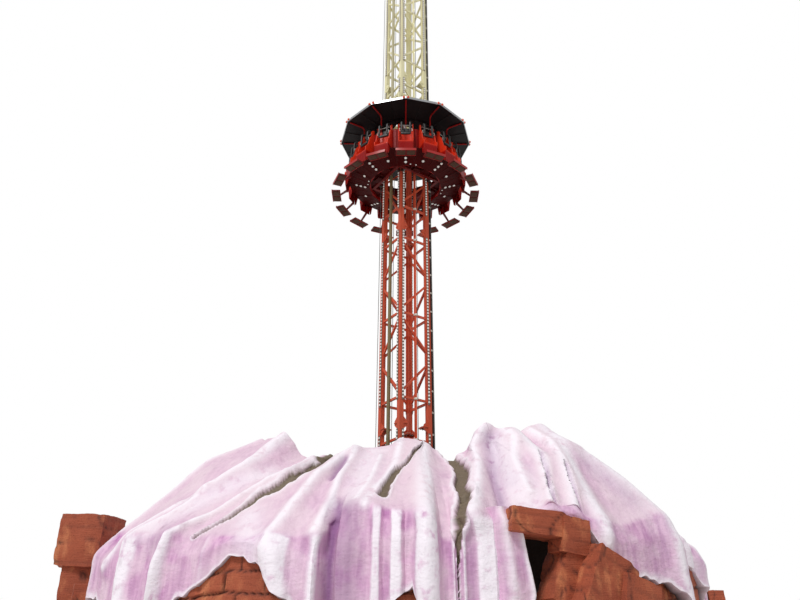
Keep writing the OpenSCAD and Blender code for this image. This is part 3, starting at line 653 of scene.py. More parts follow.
# angle from the front | crest radius, height | shoulder radius, height | fold out of the wall, height | hem out, height
MANTLE_RIBS = np.array([
    [-180, 3.9, 6.25, 4.9, 5.45, 0, 4.15, 0.2, 1.9],
    [-165, 3.9, 6.35, 5, 5.6, 0.05, 4.05, 0.25, 1.7],
    [-150, 4, 6.2, 5.2, 5.3, 0, 3.95, 0.18, 2],
    [-138, 4, 6.55, 5.3, 5.7, 0.1, 3.9, 0.3, 1.6],
    [-126, 4.1, 6.3, 5.5, 5.3, 0.05, 3.8, 0.2, 2],
    [-114, 4.1, 6.6, 5.6, 5.8, 0.15, 4, 0.35, 1.8],
    [-102, 4.2, 6.55, 5.7, 5.8, 0.15, 4, 0.3, 2.1],
    [-90, 4.2, 6.7, 5.65, 5.95, 0.05, 4.1, 0.3, 2.2],
    [-80, 4.2, 6.82, 5.65, 6.1, 0.0, 4.2, 0.42, 2.4],
    [-74, 4.2, 6.84, 5.65, 6.12, 0.0, 4.15, 0.5, 2.65],
    [-70, 4.2, 6.82, 5.62, 6, 0.02, 4, 0.45, 2.6],
    [-66, 4.2, 6.8, 5.6, 5.8, 0.12, 3.9, 0.3, 2],
    [-60, 4.1, 6.76, 5.5, 5.45, 0.12, 3.8, 0.2, 1.6],
    [-54, 4, 6.62, 5.5, 5.25, 0.1, 3.85, 0.18, 1.5],
    [-49, 3.9, 6.42, 5.45, 5.2, 0.05, 3.92, 0.18, 1.5],
    [-46, 3.8, 6.15, 5.4, 5.15, 0.05, 3.8, 0.2, 1.9],
    [-44, 3.7, 6.06, 5.4, 5.1, 0, 3.72, 0.18, 2.45],
    [-39, 3.6, 6.04, 5.4, 5.12, 0, 3.7, 0.16, 2.54],
    [-36, 3.6, 6.07, 5.4, 5.14, 0, 3.68, 0.14, 3],
    [-33, 3.6, 6.1, 5.4, 5.12, 0, 3.66, 0.14, 3.28],
    [-30, 3.6, 6.08, 5.35, 5.12, 0, 3.64, 0.14, 3.3],
    [-27, 3.6, 6.04, 5.3, 5.12, 0, 3.62, 0.15, 3.05],
    [-23, 3.6, 6.13, 5.25, 5.08, 0.02, 3.6, 0.18, 2.54],
    [-20, 3.6, 6.12, 5.25, 5, 0.03, 3.59, 0.18, 2.35],
    [-17, 3.6, 6.12, 5.25, 4.98, 0.05, 3.57, 0.18, 1.9],
    [-15.8, 3.6, 6.12, 5.2, 5, 0, 3.6, 0.15, 1.8],
    [-14.3, 3.6, 6.12, 5.15, 5.03, -0.12, 3.95, 0.1, 1.8],
    [-12.8, 3.6, 6.12, 5.1, 5.05, -0.12, 4.2, 0.12, 1.8],
    [-9, 3.6, 6.13, 5.05, 5.05, -0.1, 4.21, 0.12, 1.8],
    [-6, 3.6, 6.15, 5.05, 5.03, -0.06, 4.18, 0.15, 1.8],
    [-2, 3.6, 6.25, 5.05, 5.05, 0, 4.08, 0.18, 2.35],
    [1, 3.6, 6.27, 5.1, 5.05, 0.05, 4.03, 0.18, 2.6],
    [3.2, 3.6, 6.22, 5.2, 5.02, 0.14, 3.97, 0.22, 2],
    [4.6, 3.6, 6.14, 5.2, 4.95, 0.14, 3.75, 0.2, 1.8],
    [6, 3.6, 6.1, 5.2, 4.9, 0.12, 3.52, 0.18, 1.8],
    [8.4, 3.62, 6.06, 5.15, 4.92, 0.12, 3.5, 0.18, 1.8],
    [9.2, 3.62, 6.03, 5.15, 4.92, 0.12, 3.8, 0.18, 1.8],
    [12, 3.65, 5.96, 5.05, 5.02, 0.12, 3.9, 0.18, 1.8],
    [16, 3.68, 5.87, 5, 5.05, 0.12, 3.92, 0.18, 1.8],
    [18.6, 3.7, 5.88, 5, 5.1, 0.02, 4.05, 0.15, 1.8],
    [20, 3.7, 5.9, 4.98, 5.15, 0, 4.1, 0.12, 4.08],
    [24, 3.8, 6.05, 4.95, 5.3, 0, 4.15, 0.12, 4.08],
    [27, 4, 6.4, 5, 5.45, 0, 4.2, 0.12, 4.08],
    [30, 4.05, 6.58, 5.1, 5.6, 0, 4.2, 0.12, 4.02],
    [34, 4.25, 6.42, 5.4, 5.6, 0, 4.05, 0.12, 3.9],
    [36, 4.4, 6.36, 5.5, 5.55, 0.02, 3.95, 0.15, 3.3],
    [40, 4.4, 6.37, 5.6, 5.5, 0.05, 3.95, 0.18, 2.95],
    [43, 4.5, 6.45, 5.7, 5.55, 0.05, 4, 0.18, 2.95],
    [46, 4.7, 6.6, 5.8, 5.65, 0.08, 4.1, 0.2, 2.95],
    [50, 4.8, 6.52, 5.95, 5.65, 0.1, 4.25, 0.22, 2.95],
    [53, 4.8, 6.35, 6.05, 5.6, 0.12, 4.3, 0.28, 2.7],
    [56, 4.7, 6.22, 6.1, 5.45, 0.12, 4.2, 0.35, 2.35],
    [60, 4.6, 6.15, 6.05, 5.2, 0.05, 3.95, 0.1, 3.3],
    [66, 4.5, 6.1, 5.95, 5, 0, 3.85, 0.08, 3.35],
    [72, 4.4, 6.15, 5.9, 5.1, 0.05, 3.8, 0.2, 2.9],
    [80, 4.3, 6.25, 5.8, 5.2, 0, 3.8, 0.18, 2.4],
    [90, 4.2, 6.3, 5.7, 5.35, 0.05, 3.9, 0.25, 1.9],
    [102, 4.1, 6.5, 5.6, 5.6, 0.12, 3.95, 0.3, 1.7],
    [114, 4.1, 6.3, 5.5, 5.35, 0.05, 3.9, 0.2, 2],
    [126, 4, 6.55, 5.4, 5.7, 0.12, 4, 0.3, 1.6],
    [138, 4, 6.25, 5.2, 5.35, 0.05, 3.95, 0.2, 2],
    [150, 3.9, 6.4, 5.1, 5.55, 0.1, 4.05, 0.3, 1.7],
    [162, 3.9, 6.2, 5, 5.3, 0, 4, 0.18, 2.1],
    [172, 3.9, 6.3, 4.95, 5.5, 0.05, 4.15, 0.22, 1.75],
    [180, 3.9, 6.25, 4.9, 5.45, 0, 4.15, 0.2, 1.9],
])
# folds of the hanging part: angle, and how far the surface stands out there
DRAPES = np.array([
    [-180, 0], [-62, 0], [-58, 0.1], [-55, -0.03], [-51, 0], [-48.6, 0.08], [-47.8, 0.2], [-46.6, 0.02],
    [-43, -0.05], [-40.5, -0.02], [-38.6, 0.05], [-36, 0], [-30, -0.02], [-27, 0.02], [-24.5, 0.12],
    [-22.6, 0.13], [-20.5, 0], [-18.2, 0.02], [-17, 0.06], [-16.3, 0.15], [-15.9, 0.1], [-15.5, -0.12],
    [-14.9, -0.2], [-13.4, -0.2], [-12.9, -0.1], [-12.5, 0], [-11, 0.03], [-8.2, -0.03], [-6.7, 0],
    [-6.1, 0.07], [-5, 0.07], [-4.3, -0.03], [-3.3, 0], [-2.7, 0.09], [-1.3, 0.09], [-0.5, -0.03], [1.4, -0.02],
    [2.2, 0.06], [3.2, 0.16], [4.2, 0.08], [5, 0], [7.2, 0], [8, 0.07], [8.5, 0], [9.2, 0], [9.8, 0.08],
    [10.6, 0], [11.6, 0], [12.6, 0.11], [15, 0.12], [16.2, 0.02], [17.7, 0], [60, 0], [180, 0],
])
# lines on the mantle: what it is | half width at its two ends | height or depth | (angle, run) points,
# where run goes from 0 at the crest over 1 at the fold to 2 at the hem
LAVA_LINES = [
    ("ridge", 0.16, 0.2, 0.1, [(-53.5, 0), (-54.8, 0.23), (-52.2, 0.38), (-53.2, 0.58), (-61.2, 0.74), (-66, 0.97),
                               (-68, 1.4)]),
    ("ridge", 0.22, 0.34, 0.2, [(-52.4, 0), (-52.6, 0.14), (-51.6, 0.39), (-54.6, 0.63), (-54.8, 0.85), (-61, 1.02),
                                (-59, 1.4), (-57, 1.8)]),
    ("ridge", 0.13, 0.1, 0.13, [(-32.8, 0.16), (-32, 0.45), (-35.4, 0.53), (-40.4, 0.67), (-43.6, 0.79), (-46.2, 0.93),
                                (-47.3, 1.05), (-47.6, 1.5), (-47.8, 1.95)]),
    ("crack", 0.21, 0.06, 0.09, [(-27.5, 0), (-27, 0.25), (-29, 0.47), (-31.6, 0.59), (-34.8, 0.65), (-36.6, 0.76),
                                 (-38, 0.85), (-41, 0.93), (-43, 1)]),
    ("blot", 0.42, 0.36, 0.06, [(-30, 0.06), (-27.4, 0.12), (-25.4, 0.06)]),
    ("ridge", 0.16, 0.26, 0.15, [(-20.5, 0.1), (-22.4, 0.45), (-23.4, 0.64), (-24.6, 0.82), (-25.4, 0.98),
                                 (-24.8, 1.26), (-22.8, 1.66), (-21.8, 1.95)]),
    ("ridge", 0.14, 0.18, 0.13, [(-17.8, 0.08), (-17.2, 0.31), (-16.6, 0.58), (-16.3, 0.71), (-16.8, 0.87),
                                 (-17, 0.97)]),
    ("crease", 0.14, 0.1, 0.08, [(-19.2, 0.25), (-18.6, 0.5)]),
    ("crease", 0.2, 0.14, 0.16, [(-15, 0.78), (-14.4, 0.9), (-14.3, 1.02)]),
    ("ridge", 0.12, 0.16, 0.07, [(-8.5, 0.2), (-9, 0.6), (-10, 0.95)]),
    ("ridge", 0.14, 0.2, 0.08, [(-2, 0), (-3.2, 0.35), (-6.8, 0.75), (-8, 1)]),
    ("crack", 0.03, 0.1, 0.08, [(5.4, 0.03), (2.6, 0.2), (0.4, 0.35), (-2.6, 0.45), (-4.4, 0.62), (-5.2, 0.85)]),
    ("ridge", 0.26, 0.3, 0.17, [(6, 0.02), (4.8, 0.31), (4.3, 0.52), (3.6, 0.8), (3.3, 1.07), (3.4, 1.5), (3.4, 2)]),
    ("crack", 0.2, 0.12, 0.12, [(16.6, 0), (17.2, 0.19), (16.2, 0.41), (13, 0.6), (12.4, 0.78)]),
    ("crack", 0.14, 0.13, 0.1, [(12.4, 0.76), (10.6, 0.9), (9.2, 1)]),
    ("crack", 0.11, 0.022, 0.09, [(9.2, 0.98), (9, 1.12), (8.8, 1.3)]),
    ("crack", 0.022, 0.02, 0.07, [(8.8, 1.28), (8.7, 2)]),
    ("ridge", 0.2, 0.22, 0.24, [(29.4, 0.02), (25.4, 0.12), (23, 0.3), (19.4, 0.5), (15.8, 0.7), (13.4, 0.88),
                                (12, 0.98)]),
    ("crease", 0.18, 0.12, 0.2, [(29.4, 0.12), (26, 0.38), (23.4, 0.56), (21.6, 0.7), (19.4, 0.9)]),
    ("ridge", 0.24, 0.18, 0.16, [(34, 0.03), (33.2, 0.25), (31.4, 0.4), (28.6, 0.62), (26, 0.85)]),
    ("ridge", 0.26, 0.16, 0.22, [(37, 0.06), (35.4, 0.37), (34.4, 0.56), (32.6, 0.68), (30.4, 0.84), (27.6, 0.98)]),
    ("slit", 0.05, 0.05, 0.2, [(35.4, 0.48), (33.2, 0.68), (30.2, 0.86), (28.6, 0.98)]),
    ("ridge", 0.24, 0.2, 0.24, [(43, 0.05), (42.6, 0.27), (37.8, 0.6), (35.2, 0.8), (32, 0.99)]),
    ("slit", 0.05, 0.06, 0.18, [(38.6, 0.58), (36.4, 0.73), (34.6, 0.88), (33.6, 1)]),
    ("ridge", 0.36, 0.3, 0.22, [(47.6, 0), (45.4, 0.3), (41.6, 0.55), (39, 0.8), (37.4, 1.1), (36.6, 1.6)]),
    ("ridge", 0.34, 0.26, 0.2, [(50, 0.36), (51.4, 0.56), (53.4, 0.75), (54.4, 0.95), (54.6, 1.3), (54.6, 1.7),
                                (55.4, 2)]),
    ("slit", 0.16, 0.2, 0.3, [(58.6, 0.85), (58.8, 1.1), (58.6, 1.8)]),
    ("ridge", 0.22, 0.26, 0.16, [(62, 0.3), (63.4, 0.8), (64, 1.1), (64.4, 1.9)]),
    ("crease", 0.1, 0.12, 0.1, [(68, 0.95), (68, 1.3)]),
    # patches of painted shade on the mantle, the strongest over the recess in the drapes
    ("shade_patch", 0.3, 0.4, 0.6, [(-11.6, 1.02), (-11.3, 1.5), (-11.2, 1.95)]),
    ("shade_patch", 0.12, 0.14, 1.2, [(-14.3, 0.9), (-14.3, 1.4), (-14.2, 2)]),
    ("shade_patch", 0.3, 0.26, 0.45, [(-50.5, 1.05), (-50, 1.3), (-49, 1.7)]),
    ("shade_patch", 0.22, 0.25, 0.4, [(47.5, 0.5), (49, 0.7), (50.5, 0.85)]),
    ("shade_patch", 0.16, 0.2, 0.4, [(27.5, 0.3), (26, 0.55), (25, 0.7)]),
    ("shade_patch", 0.16, 0.3, 0.35, [(17.5, 1), (17.3, 1.2), (17.3, 1.5)]),
    ("shade_patch", 0.18, 0.2, 0.35, [(11, 1.05), (11.2, 1.4), (11.2, 1.9)]),
    # broad painted highlights on the open sheets of the mantle
    ("painted_highlight", 0.6, 1.1, 0.85, [(52, 0.3), (56, 0.6), (60, 0.95), (62, 1.4), (62, 1.9)]),
    ("painted_highlight", 0.35, 0.5, 0.7, [(30, 0.2), (27, 0.6), (24, 0.95)]),
    ("painted_highlight", 0.4, 0.4, 0.6, [(-12, 0.1), (-11, 0.5), (-10, 0.85)]),
    ("painted_highlight", 0.3, 0.5, 0.6, [(-33, 0.85), (-30.5, 1), (-28, 1.4), (-25.5, 1.9)]),
    ("painted_highlight", 0.35, 0.45, 0.6, [(-45, 0.35), (-52, 0.75), (-57, 0.95)]),
    ("ridge", 0.2, 0.26, 0.16, [(71, 0.2), (72, 0.7), (72.6, 1.1), (73, 1.95)]),
]
# round to the back the same kinds of line repeat: half widths and height of each kind, then (angle, lean) of each line
BACK_LINES = {
    ("ridge", 0.2, 0.3, 0.17): [
        (82, 3), (95, -3), (104, 2), (117, 4), (125, -2), (139, 3), (153, 2), (161, -3), (176, 2), (-177, -2),
        (-162, 3), (-153, -2), (-138, 3), (-129, -2), (-113, 3), (-104, -2), (-90, -3), (-82, 2), (-75, -2),
    ],
    ("crease", 0.16, 0.12, 0.12): [(111, 1), (147, -1), (-169, 2), (-121, 2)],
    ("crack", 0.12, 0.05, 0.09): [(89, 2), (131, 2), (168, 1), (-146, 1), (-97, 2)],
}
for kind, lines in BACK_LINES.items():
    for turn, lean in lines:
        course = [(turn, 0.04), (turn + lean, 0.5), (turn + 0.4 * lean, 0.98), (turn, 1.4), (turn, 2)]
        LAVA_LINES.append((*kind, course))


def mantle_at(angle, run):
    """Radius and height of the plain mantle, before its ridges and cracks are worked in."""
    ribs = [by_angle(MANTLE_RIBS, angle, column) for column in range(1, 9)]
    crest, crest_z, shoulder, shoulder_z, fold, fold_z, hem, hem_z = ribs
    fold, hem = wall_radius(angle) + fold, wall_radius(angle) + hem
    upper, lower = run * 2, (np.minimum(run, 1) - 0.5) * 2
    hang = np.clip(run - 1, 0, 1)
    radius = np.where(run < 0.5, crest + (shoulder - crest) * upper, shoulder + (fold - shoulder) * lower)
    height = np.where(run < 0.5, crest_z + (shoulder_z - crest_z) * upper, shoulder_z + (fold_z - shoulder_z) * lower)
    radius = radius + (hem - fold) * np.minimum(hang * 3, 1)
    return radius + by_angle(DRAPES, angle) * np.clip((run - 0.9) / 0.15, 0, 1), height + (hem_z - fold_z) * hang


def blurred(grid, rows, columns):
    """The grid of points smoothed by that many samples each way, its borders carried on."""
    for axis, reach in ((0, rows), (1, columns)):
        if reach:
            weights = np.exp(-0.5 * (np.arange(-2 * reach, 2 * reach + 1) / reach) ** 2)
            border = [(0, 0)] * grid.ndim
            border[axis] = (2 * reach, 2 * reach)
            spread = np.pad(grid, border, mode="edge")
            size = grid.shape[axis]
            grid = sum(w * spread.take(range(i, i + size), axis) for i, w in enumerate(weights / weights.sum()))
    return grid


def facing_out(grid):
    """Outward direction at each point of a grid of angles by runs."""
    across, down = np.gradient(grid, axis=0), np.gradient(grid, axis=1)
    normal = np.cross(down, across)
    return normal / np.linalg.norm(normal, axis=-1, keepdims=True)


TRAIL_STEPS = 24  # samples on each stretch of a line
TRAIL_REACH = 1.2  # metres around a line in which it is felt
LINE_REACH = 9  # degrees past a piece's ends from which a line can still reach it
FAR_OFF = 99.0


def near_line(points, line, wide_from, wide_to):
    """Distance of each point from a line over the plain mantle, in its local half widths."""
    angle, run = np.array(line, float).T
    steps = np.linspace(0, 1, TRAIL_STEPS * (len(line) - 1) + 1)
    knots = np.linspace(0, 1, len(line))
    line_angle, line_run = np.interp(steps, knots, angle), np.interp(steps, knots, run)
    trail = around(line_angle, *mantle_at(line_angle, line_run))
    flat = points.reshape(-1, 3)
    low, high = trail.min(0) - TRAIL_REACH, trail.max(0) + TRAIL_REACH
    close = np.all((flat > low) & (flat < high), axis=1)
    far = np.full(len(flat), FAR_OFF)
    if close.any():
        gap = np.linalg.norm(flat[close][:, None] - trail[None], axis=2)
        nearest = gap.argmin(1)
        width = wide_from + (wide_to - wide_from) * steps[nearest]
        far[close] = gap[np.arange(len(nearest)), nearest] / width
    return far.reshape(points.shape[:-1])


def worked(base, start, end):
    """What the lines do to the plain mantle: lift or depth, and how white or lit by painted highlight, bare, or
    darkened by painted shade each point is.
    """
    lift, white_and_highlight, bare, deep = np.zeros((4, *base.shape[:2]))
    for kind, wide_from, wide_to, height, line in LAVA_LINES:
        if max(a for a, r in line) < start - LINE_REACH or min(a for a, r in line) > end + LINE_REACH:
            continue
        far = near_line(base, line, wide_from, wide_to)
        if kind == "ridge":
            lift += height * np.exp(-(far / 1.15) ** 2)
            white_and_highlight = np.maximum(white_and_highlight, np.exp(-(far / 0.62) ** 2))
        # a broad painted highlight, white without any lift
        elif kind == "painted_highlight":
            white_and_highlight = np.maximum(white_and_highlight, height * np.exp(-(far ** 2)))
        # a patch of painted shade
        elif kind == "shade_patch":
            deep = np.maximum(deep, height * np.exp(-(far ** 2)))
        # a crease is sunk, with painted shade laid in it
        elif kind == "crease":
            lift -= height * np.exp(-(far ** 2))
            deep = np.maximum(deep, np.exp(-(far / 0.9) ** 2))
        # a slit is cut in, with dark painted shade laid in it
        elif kind == "slit":
            lift -= height * smooth_step(-far, -1.1, -0.3)
            deep = np.maximum(deep, 1.6 * smooth_step(-far, -1.2, -0.5))
        else:
            ragged = far + 0.35 * lumps(base, 0.16, 4)
            lift -= height * smooth_step(-ragged, -1.15, -0.75)
            lift += 0.35 * height * np.exp(-((ragged - 1.5) / 0.4) ** 2)
            bare = np.maximum(bare, smooth_step(-ragged, -1.05, -0.85))
            white_and_highlight = np.maximum(white_and_highlight, 0.8 * np.exp(-((ragged - 1.4) / 0.3) ** 2))
    return lift, white_and_highlight, bare, deep


# painted fields: white paint with painted highlights, bare render, painted shade, pink airbrush deepened as painted
# shade, and the inside of the shell painted dark as shade
LAVA_FIELDS = ("white_and_highlight", "bare", "deep", "blush_and_shade", "inner")
MARGIN = 3  # rows worked past a piece's ends, so that neighbours meet
INSIDE_STEP = 9  # the plain inside has one point for so many on the outside
DEEPEST = -0.12  # how far a crack may cut into the shell


def mantle_piece(name, start, end, step):
    """One length of the mantle between two angles, as a closed shell with its painted fields."""
    angles = np.arange(start - MARGIN * step, end + (MARGIN + 0.5) * step, step)
    runs = np.concatenate([np.linspace(0, 0.97, 66), np.linspace(0.98, 1.06, 7), np.linspace(1.08, 2, 44)])
    turn, run = np.meshgrid(angles, runs, indexing="ij")
    base = blurred(around(turn, *mantle_at(turn, run)), 0, 2)
    out = facing_out(blurred(base, 2, 2))
    lift, white_and_highlight, bare, deep = worked(base, start, end)
    hanging = smooth_step(run, 0.97, 1.05)
    folds = by_angle(DRAPES, turn)
    white_and_highlight = np.maximum(white_and_highlight, hanging * smooth_step(folds, 0.03, 0.08))
    white_and_highlight = np.maximum(white_and_highlight, 0.85 * smooth_step(run, 1.86 + 0.06 * lumps(base, 0.3, 11), 1.97))
    # painted shade in the recessed folds of the drapes
    deep = np.maximum(deep, hanging * smooth_step(-folds, 0.1, 0.4) * 2.2)
    lift += 0.03 * lumps(base, 0.9, 1) + 0.014 * lumps(base, 0.28, 2) + 0.006 * lumps(base, 0.09, 3)
    lift = np.maximum(lift, DEEPEST)
    level = base * [1, 1, 0]
    hem = smooth_step(run, 1.75, 2.0) * (0.13 * lumps(level, 0.22, 5) + 0.12 * lumps(level, 0.7, 6))
    skin = base + out * lift[..., None]
    skin[..., 2] += hem
    # Pink airbrush, laid deeper in the hollows and on the drapes just under the fold as painted shade.
    hollow = blurred(lift, 6, 4) - lift
    blush_and_shade = np.clip(0.22 + 4.5 * hollow + 0.25 * lumps(base, 1.3, 8), 0, 1) * (1 - hanging)
    blush_and_shade += hanging * np.clip(0.86 + 0.25 * lumps(base, 0.5, 9) - 0.25 * (run - 1), 0, 1)
    keep = slice(MARGIN, len(angles) - MARGIN)
    skin, out, turn, run, hem = skin[keep], out[keep], turn[keep], run[keep], hem[keep]
    inside = around(turn, *mantle_at(turn, run)) - MANTLE_THICK * blurred(out, 2, 2)
    inside[..., 2] += hem
    inside = inside[:, ::-1][:, ::INSIDE_STEP]
    lip = (skin[:, :1] + inside[:, -1:]) / 2 + [0, 0, 0.03]
    blank = np.zeros(inside.shape[:2])
    painted = [np.concatenate([g[keep], blank, g[keep][:, :1]], axis=1) for g in (white_and_highlight, bare, deep, blush_and_shade)]
    # the inside of the shell, which is painted dark as shade
    painted.append(np.concatenate([0 * run, blank + 1, 0 * run[:, :1]], axis=1))
    fields = {field: values.ravel() for field, values in zip(LAVA_FIELDS, painted)}
    shape = wrapped(np.concatenate([skin, inside, lip], axis=1))
    make(name, shape, lava_paint, "structure", [name], 60, fields)


def apron_piece():
    """The tongue of lava that runs down over the cave's left jamb, leaving the way in clear below it."""
    start = 14.2
    edge = np.array([(0, 18.7), (1, 18.9), (1.7, 19.6), (2.2, 21.2), (2.5, 22), (2.9, 21.5), (3.4, 20.7), (4.2, 19.6)])
    heights, share = np.meshgrid(np.linspace(0.02, 4.16, 70), np.linspace(0, 1, 36), indexing="ij")
    turn = start + (np.interp(heights, edge[:, 0], edge[:, 1]) - start) * share
    swell = 0.06 + 0.18 * smooth_step(share, 0, 0.3) + 0.14 * np.sin(share * pi) ** 0.6
    swell = swell + 0.10 * smooth_step(-heights, -1.6, 0) - 0.16 * smooth_step(heights, 3.8, 4.16)
    base = around(turn, wall_radius(turn) + swell, heights)
    lift = 0.03 * lumps(base, 0.5, 31) + 0.012 * lumps(base, 0.16, 32)
    roll = np.exp(-((share - 0.93) / 0.09) ** 2) + 0.6 * np.exp(-((share - 0.45) / 0.12) ** 2)
    lift = lift + 0.06 * roll - 0.14 * smooth_step(share, 0.96, 1.0)
    skin = around(turn, wall_radius(turn) + swell + lift, heights)
    back = around(turn, wall_radius(turn) + 0.02, heights)[:, ::-1]
    # pink between the rolls as painted shade, less on the rolls themselves
    blush_and_shade = np.clip(0.75 - 0.6 * roll + 0.3 * lumps(base, 0.6, 33), 0, 1)
    painted = (np.clip(roll, 0, 1), 0 * share, 0 * share, blush_and_shade, 0 * share)
    blank = np.zeros(back.shape[:2])
    fields = {field: np.concatenate([values, blank], axis=1).ravel() for field, values in zip(LAVA_FIELDS, painted)}
    shape = outward(wrapped(np.concatenate([skin, back], axis=1)))
    make("lava_apron", shape, lava_paint, "structure", (), 60, fields)


lava = Finish("sprayed_lava", 0.62)
cloud = lava.grain(0.55, detail=6)
speckle = lava.grain(0.05, detail=5)
runs_down = lava.grain(0.12, (1, 1, 9), detail=5, shift=4)
trowel = lava.grain(0.16, (1, 1, 0.5), detail=8, shift=9)
pale = lava.mix(cloud, (236, 216, 224), (222, 198, 210))
# lilac-pink of the airbrush, darkened where it lies as painted shade in the hollows and drapes
pink_and_shade = lava.mix(lava.between(runs_down, 0.3, 0.7), (178, 112, 168), (220, 168, 206))
airbrush_and_shade = lava.sums("MULTIPLY", lava.field("blush_and_shade"), lava.between(cloud, 0.15, 0.62))
airbrush_and_shade = lava.sums("MAXIMUM", airbrush_and_shade, lava.sums("MULTIPLY", lava.field("blush_and_shade"), 0.55))
# dark purple painted shade where the deep field is high: creases, slits, recesses and shade patches
coat_colour = lava.layer(lava.field("deep"), 0.72, lava.mix(airbrush_and_shade, pale, pink_and_shade), (124, 70, 128))
# white paint on the ridges, and painted highlights on the broad sheets
ridge_white_and_highlight = lava.sums("MULTIPLY", lava.field("white_and_highlight"), lava.between(lava.grain(0.22, detail=7, shift=21), 0.2, 0.5))
coat_colour = lava.mix(ridge_white_and_highlight, coat_colour, (244, 236, 244))
coat_colour = lava.mix(lava.field("bare"), coat_colour, lava.mix(speckle, (88, 76, 62), (132, 116, 94)))
dirt = lava.between(lava.grain(0.3, (1, 1, 3), 8, 15), 0.62, 0.8)
coat_colour = lava.layer(dirt, 0.35, coat_colour, (150, 118, 140))
# the inside of the shell, dark brown-grey as painted shade, so that the cave mouth reads dark
coat_colour = lava.mix(lava.field("inner"), coat_colour, lava.mix(speckle, (34, 28, 26), (56, 46, 42)))
lava_relief = lava.sums("ADD", trowel, lava.sums("MULTIPLY", speckle, 0.6))
lava_paint = lava.done(coat_colour, (0.5, 0.8, speckle), lava_relief, 0.02)

for name, start, end, step in [
    ("lava_front", -30, 15, 0.25), ("lava_cave", 15, 30, 0.25), ("lava_right_front", 30, 90, 0.3),
    ("lava_right_back", 90, 150, 0.6), ("lava_back", 150, 210, 0.6), ("lava_left_back", -150, -90, 0.6),
    ("lava_left_front", -90, -30, 0.3),
]:
    mantle_piece(name, start, end, step)
apron_piece()

# ---- Carriage ----
# The welded box-beam cage that runs up and down the tower on urethane-tyred guide rollers. It is cream above the
# canopy and dark red below it, with bolted joint plates at its corners. The red runs on a little above the canopy, so
# that the beam in the canopy's shadow is dark: painted shade.

FOOT_Z = 16.35
PAN_Z = FOOT_Z + 0.73
BEAM_TOP = PAN_Z - 0.04
DRUM_R = 1.83
CANOPY_Z = FOOT_Z + 2.42
SEATS = 16
SEAT_STEP = 22.5


def seat_place(number):
    """Turns a shape drawn with X outwards to seat number, or between two seats at a half."""
    return spin(number * SEAT_STEP - 90)


def prism(profile, start, end, rounding=0.0, steps=2):
    """A flat outline in X and Z, as thick as from start to end in Y, its rims rounded."""
    mesh = bmesh.new()
    near = [mesh.verts.new((x, start, z)) for x, z in profile]
    far = [mesh.verts.new((x, end, z)) for x, z in profile]
    rims = [*mesh.faces.new(near).edges, *mesh.faces.new(far).edges]
    for i in range(len(profile)):
        j = (i + 1) % len(profile)
        mesh.faces.new((near[i], near[j], far[j], far[i]))
    if rounding:
        bmesh.ops.bevel(mesh, geom=list(set(rims)), offset=rounding, segments=steps, profile=0.5, affect="EDGES",
                        clamp_overlap=True)
    bmesh.ops.recalc_face_normals(mesh, faces=mesh.faces)
    return taken(mesh)


def arc(x, y, radius, start, end, steps):
    turns = np.radians(np.linspace(start, end, steps + 1))
    return [(x + radius * cos(t), y + radius * sin(t)) for t in turns]


def tube(path, radius, segments):
    """A round tube with closed ends along a path of points."""
    path = np.asarray(path, float)
    along = np.gradient(path, axis=0)
    along /= np.linalg.norm(along, axis=1, keepdims=True)
    side = np.cross(along[0], (0, 0, 1) if abs(along[0][2]) < 0.9 else (1, 0, 0))
    turns = [2 * pi * i / segments for i in range(segments)]
    rings = []
    for point, ahead in zip(path, along):
        side = side - ahead * side.dot(ahead)
        side /= np.linalg.norm(side)
        up = np.cross(ahead, side)
        rings.append([point + radius * (cos(t) * side + sin(t) * up) for t in turns])
    return outward(wrapped(np.array(rings)))


# The red runs on 0.45 m above the canopy, so that the cage's beam in the canopy's shadow is dark red as painted shade.
carriage_paint = painted_steel("carriage_paint", (84, 10, 9), (112, 16, 13), 0.42, CANOPY_Z + 0.45, TOWER_CREAM, 0, 0.2)
dress(["carriage_frame"], carriage_paint)
tyre = flecked("roller_tyre", 0.55, (28, 24, 22), (66, 56, 48), 0.02, (0.45, 0.75), 0.0006, detail=6)
dress(["carriage_rollers"], tyre)
POST_X = 0.57
PLATE_FROM, PLATE_TO = 0.8905, 0.8985
BEAM_LEVELS = (FOOT_Z + 0.52, FOOT_Z + 2.75, FOOT_Z + 3.82)
plate = joined(
    prism([(0.008, 0.03), (0.1, 0.03), (0.22, 0.11), (0.22, 0.13), (0.008, 0.13)], PLATE_FROM, PLATE_TO, 0.001),
    bolts_on([(x, PLATE_TO, z) for x, z in ((0.04, 0.06), (0.04, 0.105), (0.12, 0.105), (0.19, 0.118))], TO_Y, 0.6),
)
plate_places = []
for quarter in range(4):
    for z in BEAM_LEVELS:
        beam = tower_side(quarter) @ Matrix.Translation((0, 0, z - 0.08))
        plate_places.append(beam @ Matrix.Translation((POST_X, 0, 0)))
        plate_places.append(beam @ Matrix.Translation((-POST_X, 0, 0)) @ Matrix.Diagonal((-1, 1, 1, 1)))
make("carriage_plates", outward(copies(plate, plate_places)), carriage_paint, "gondola")

# ---- Hub, beams and back drum ----
# A sixteen-sided hub ring, a deep beam under each seat and the sheet-steel drum that closes the seats' backs, all
# welded and painted dark red. The drum is ribbed by pressed cover strips between the seats.

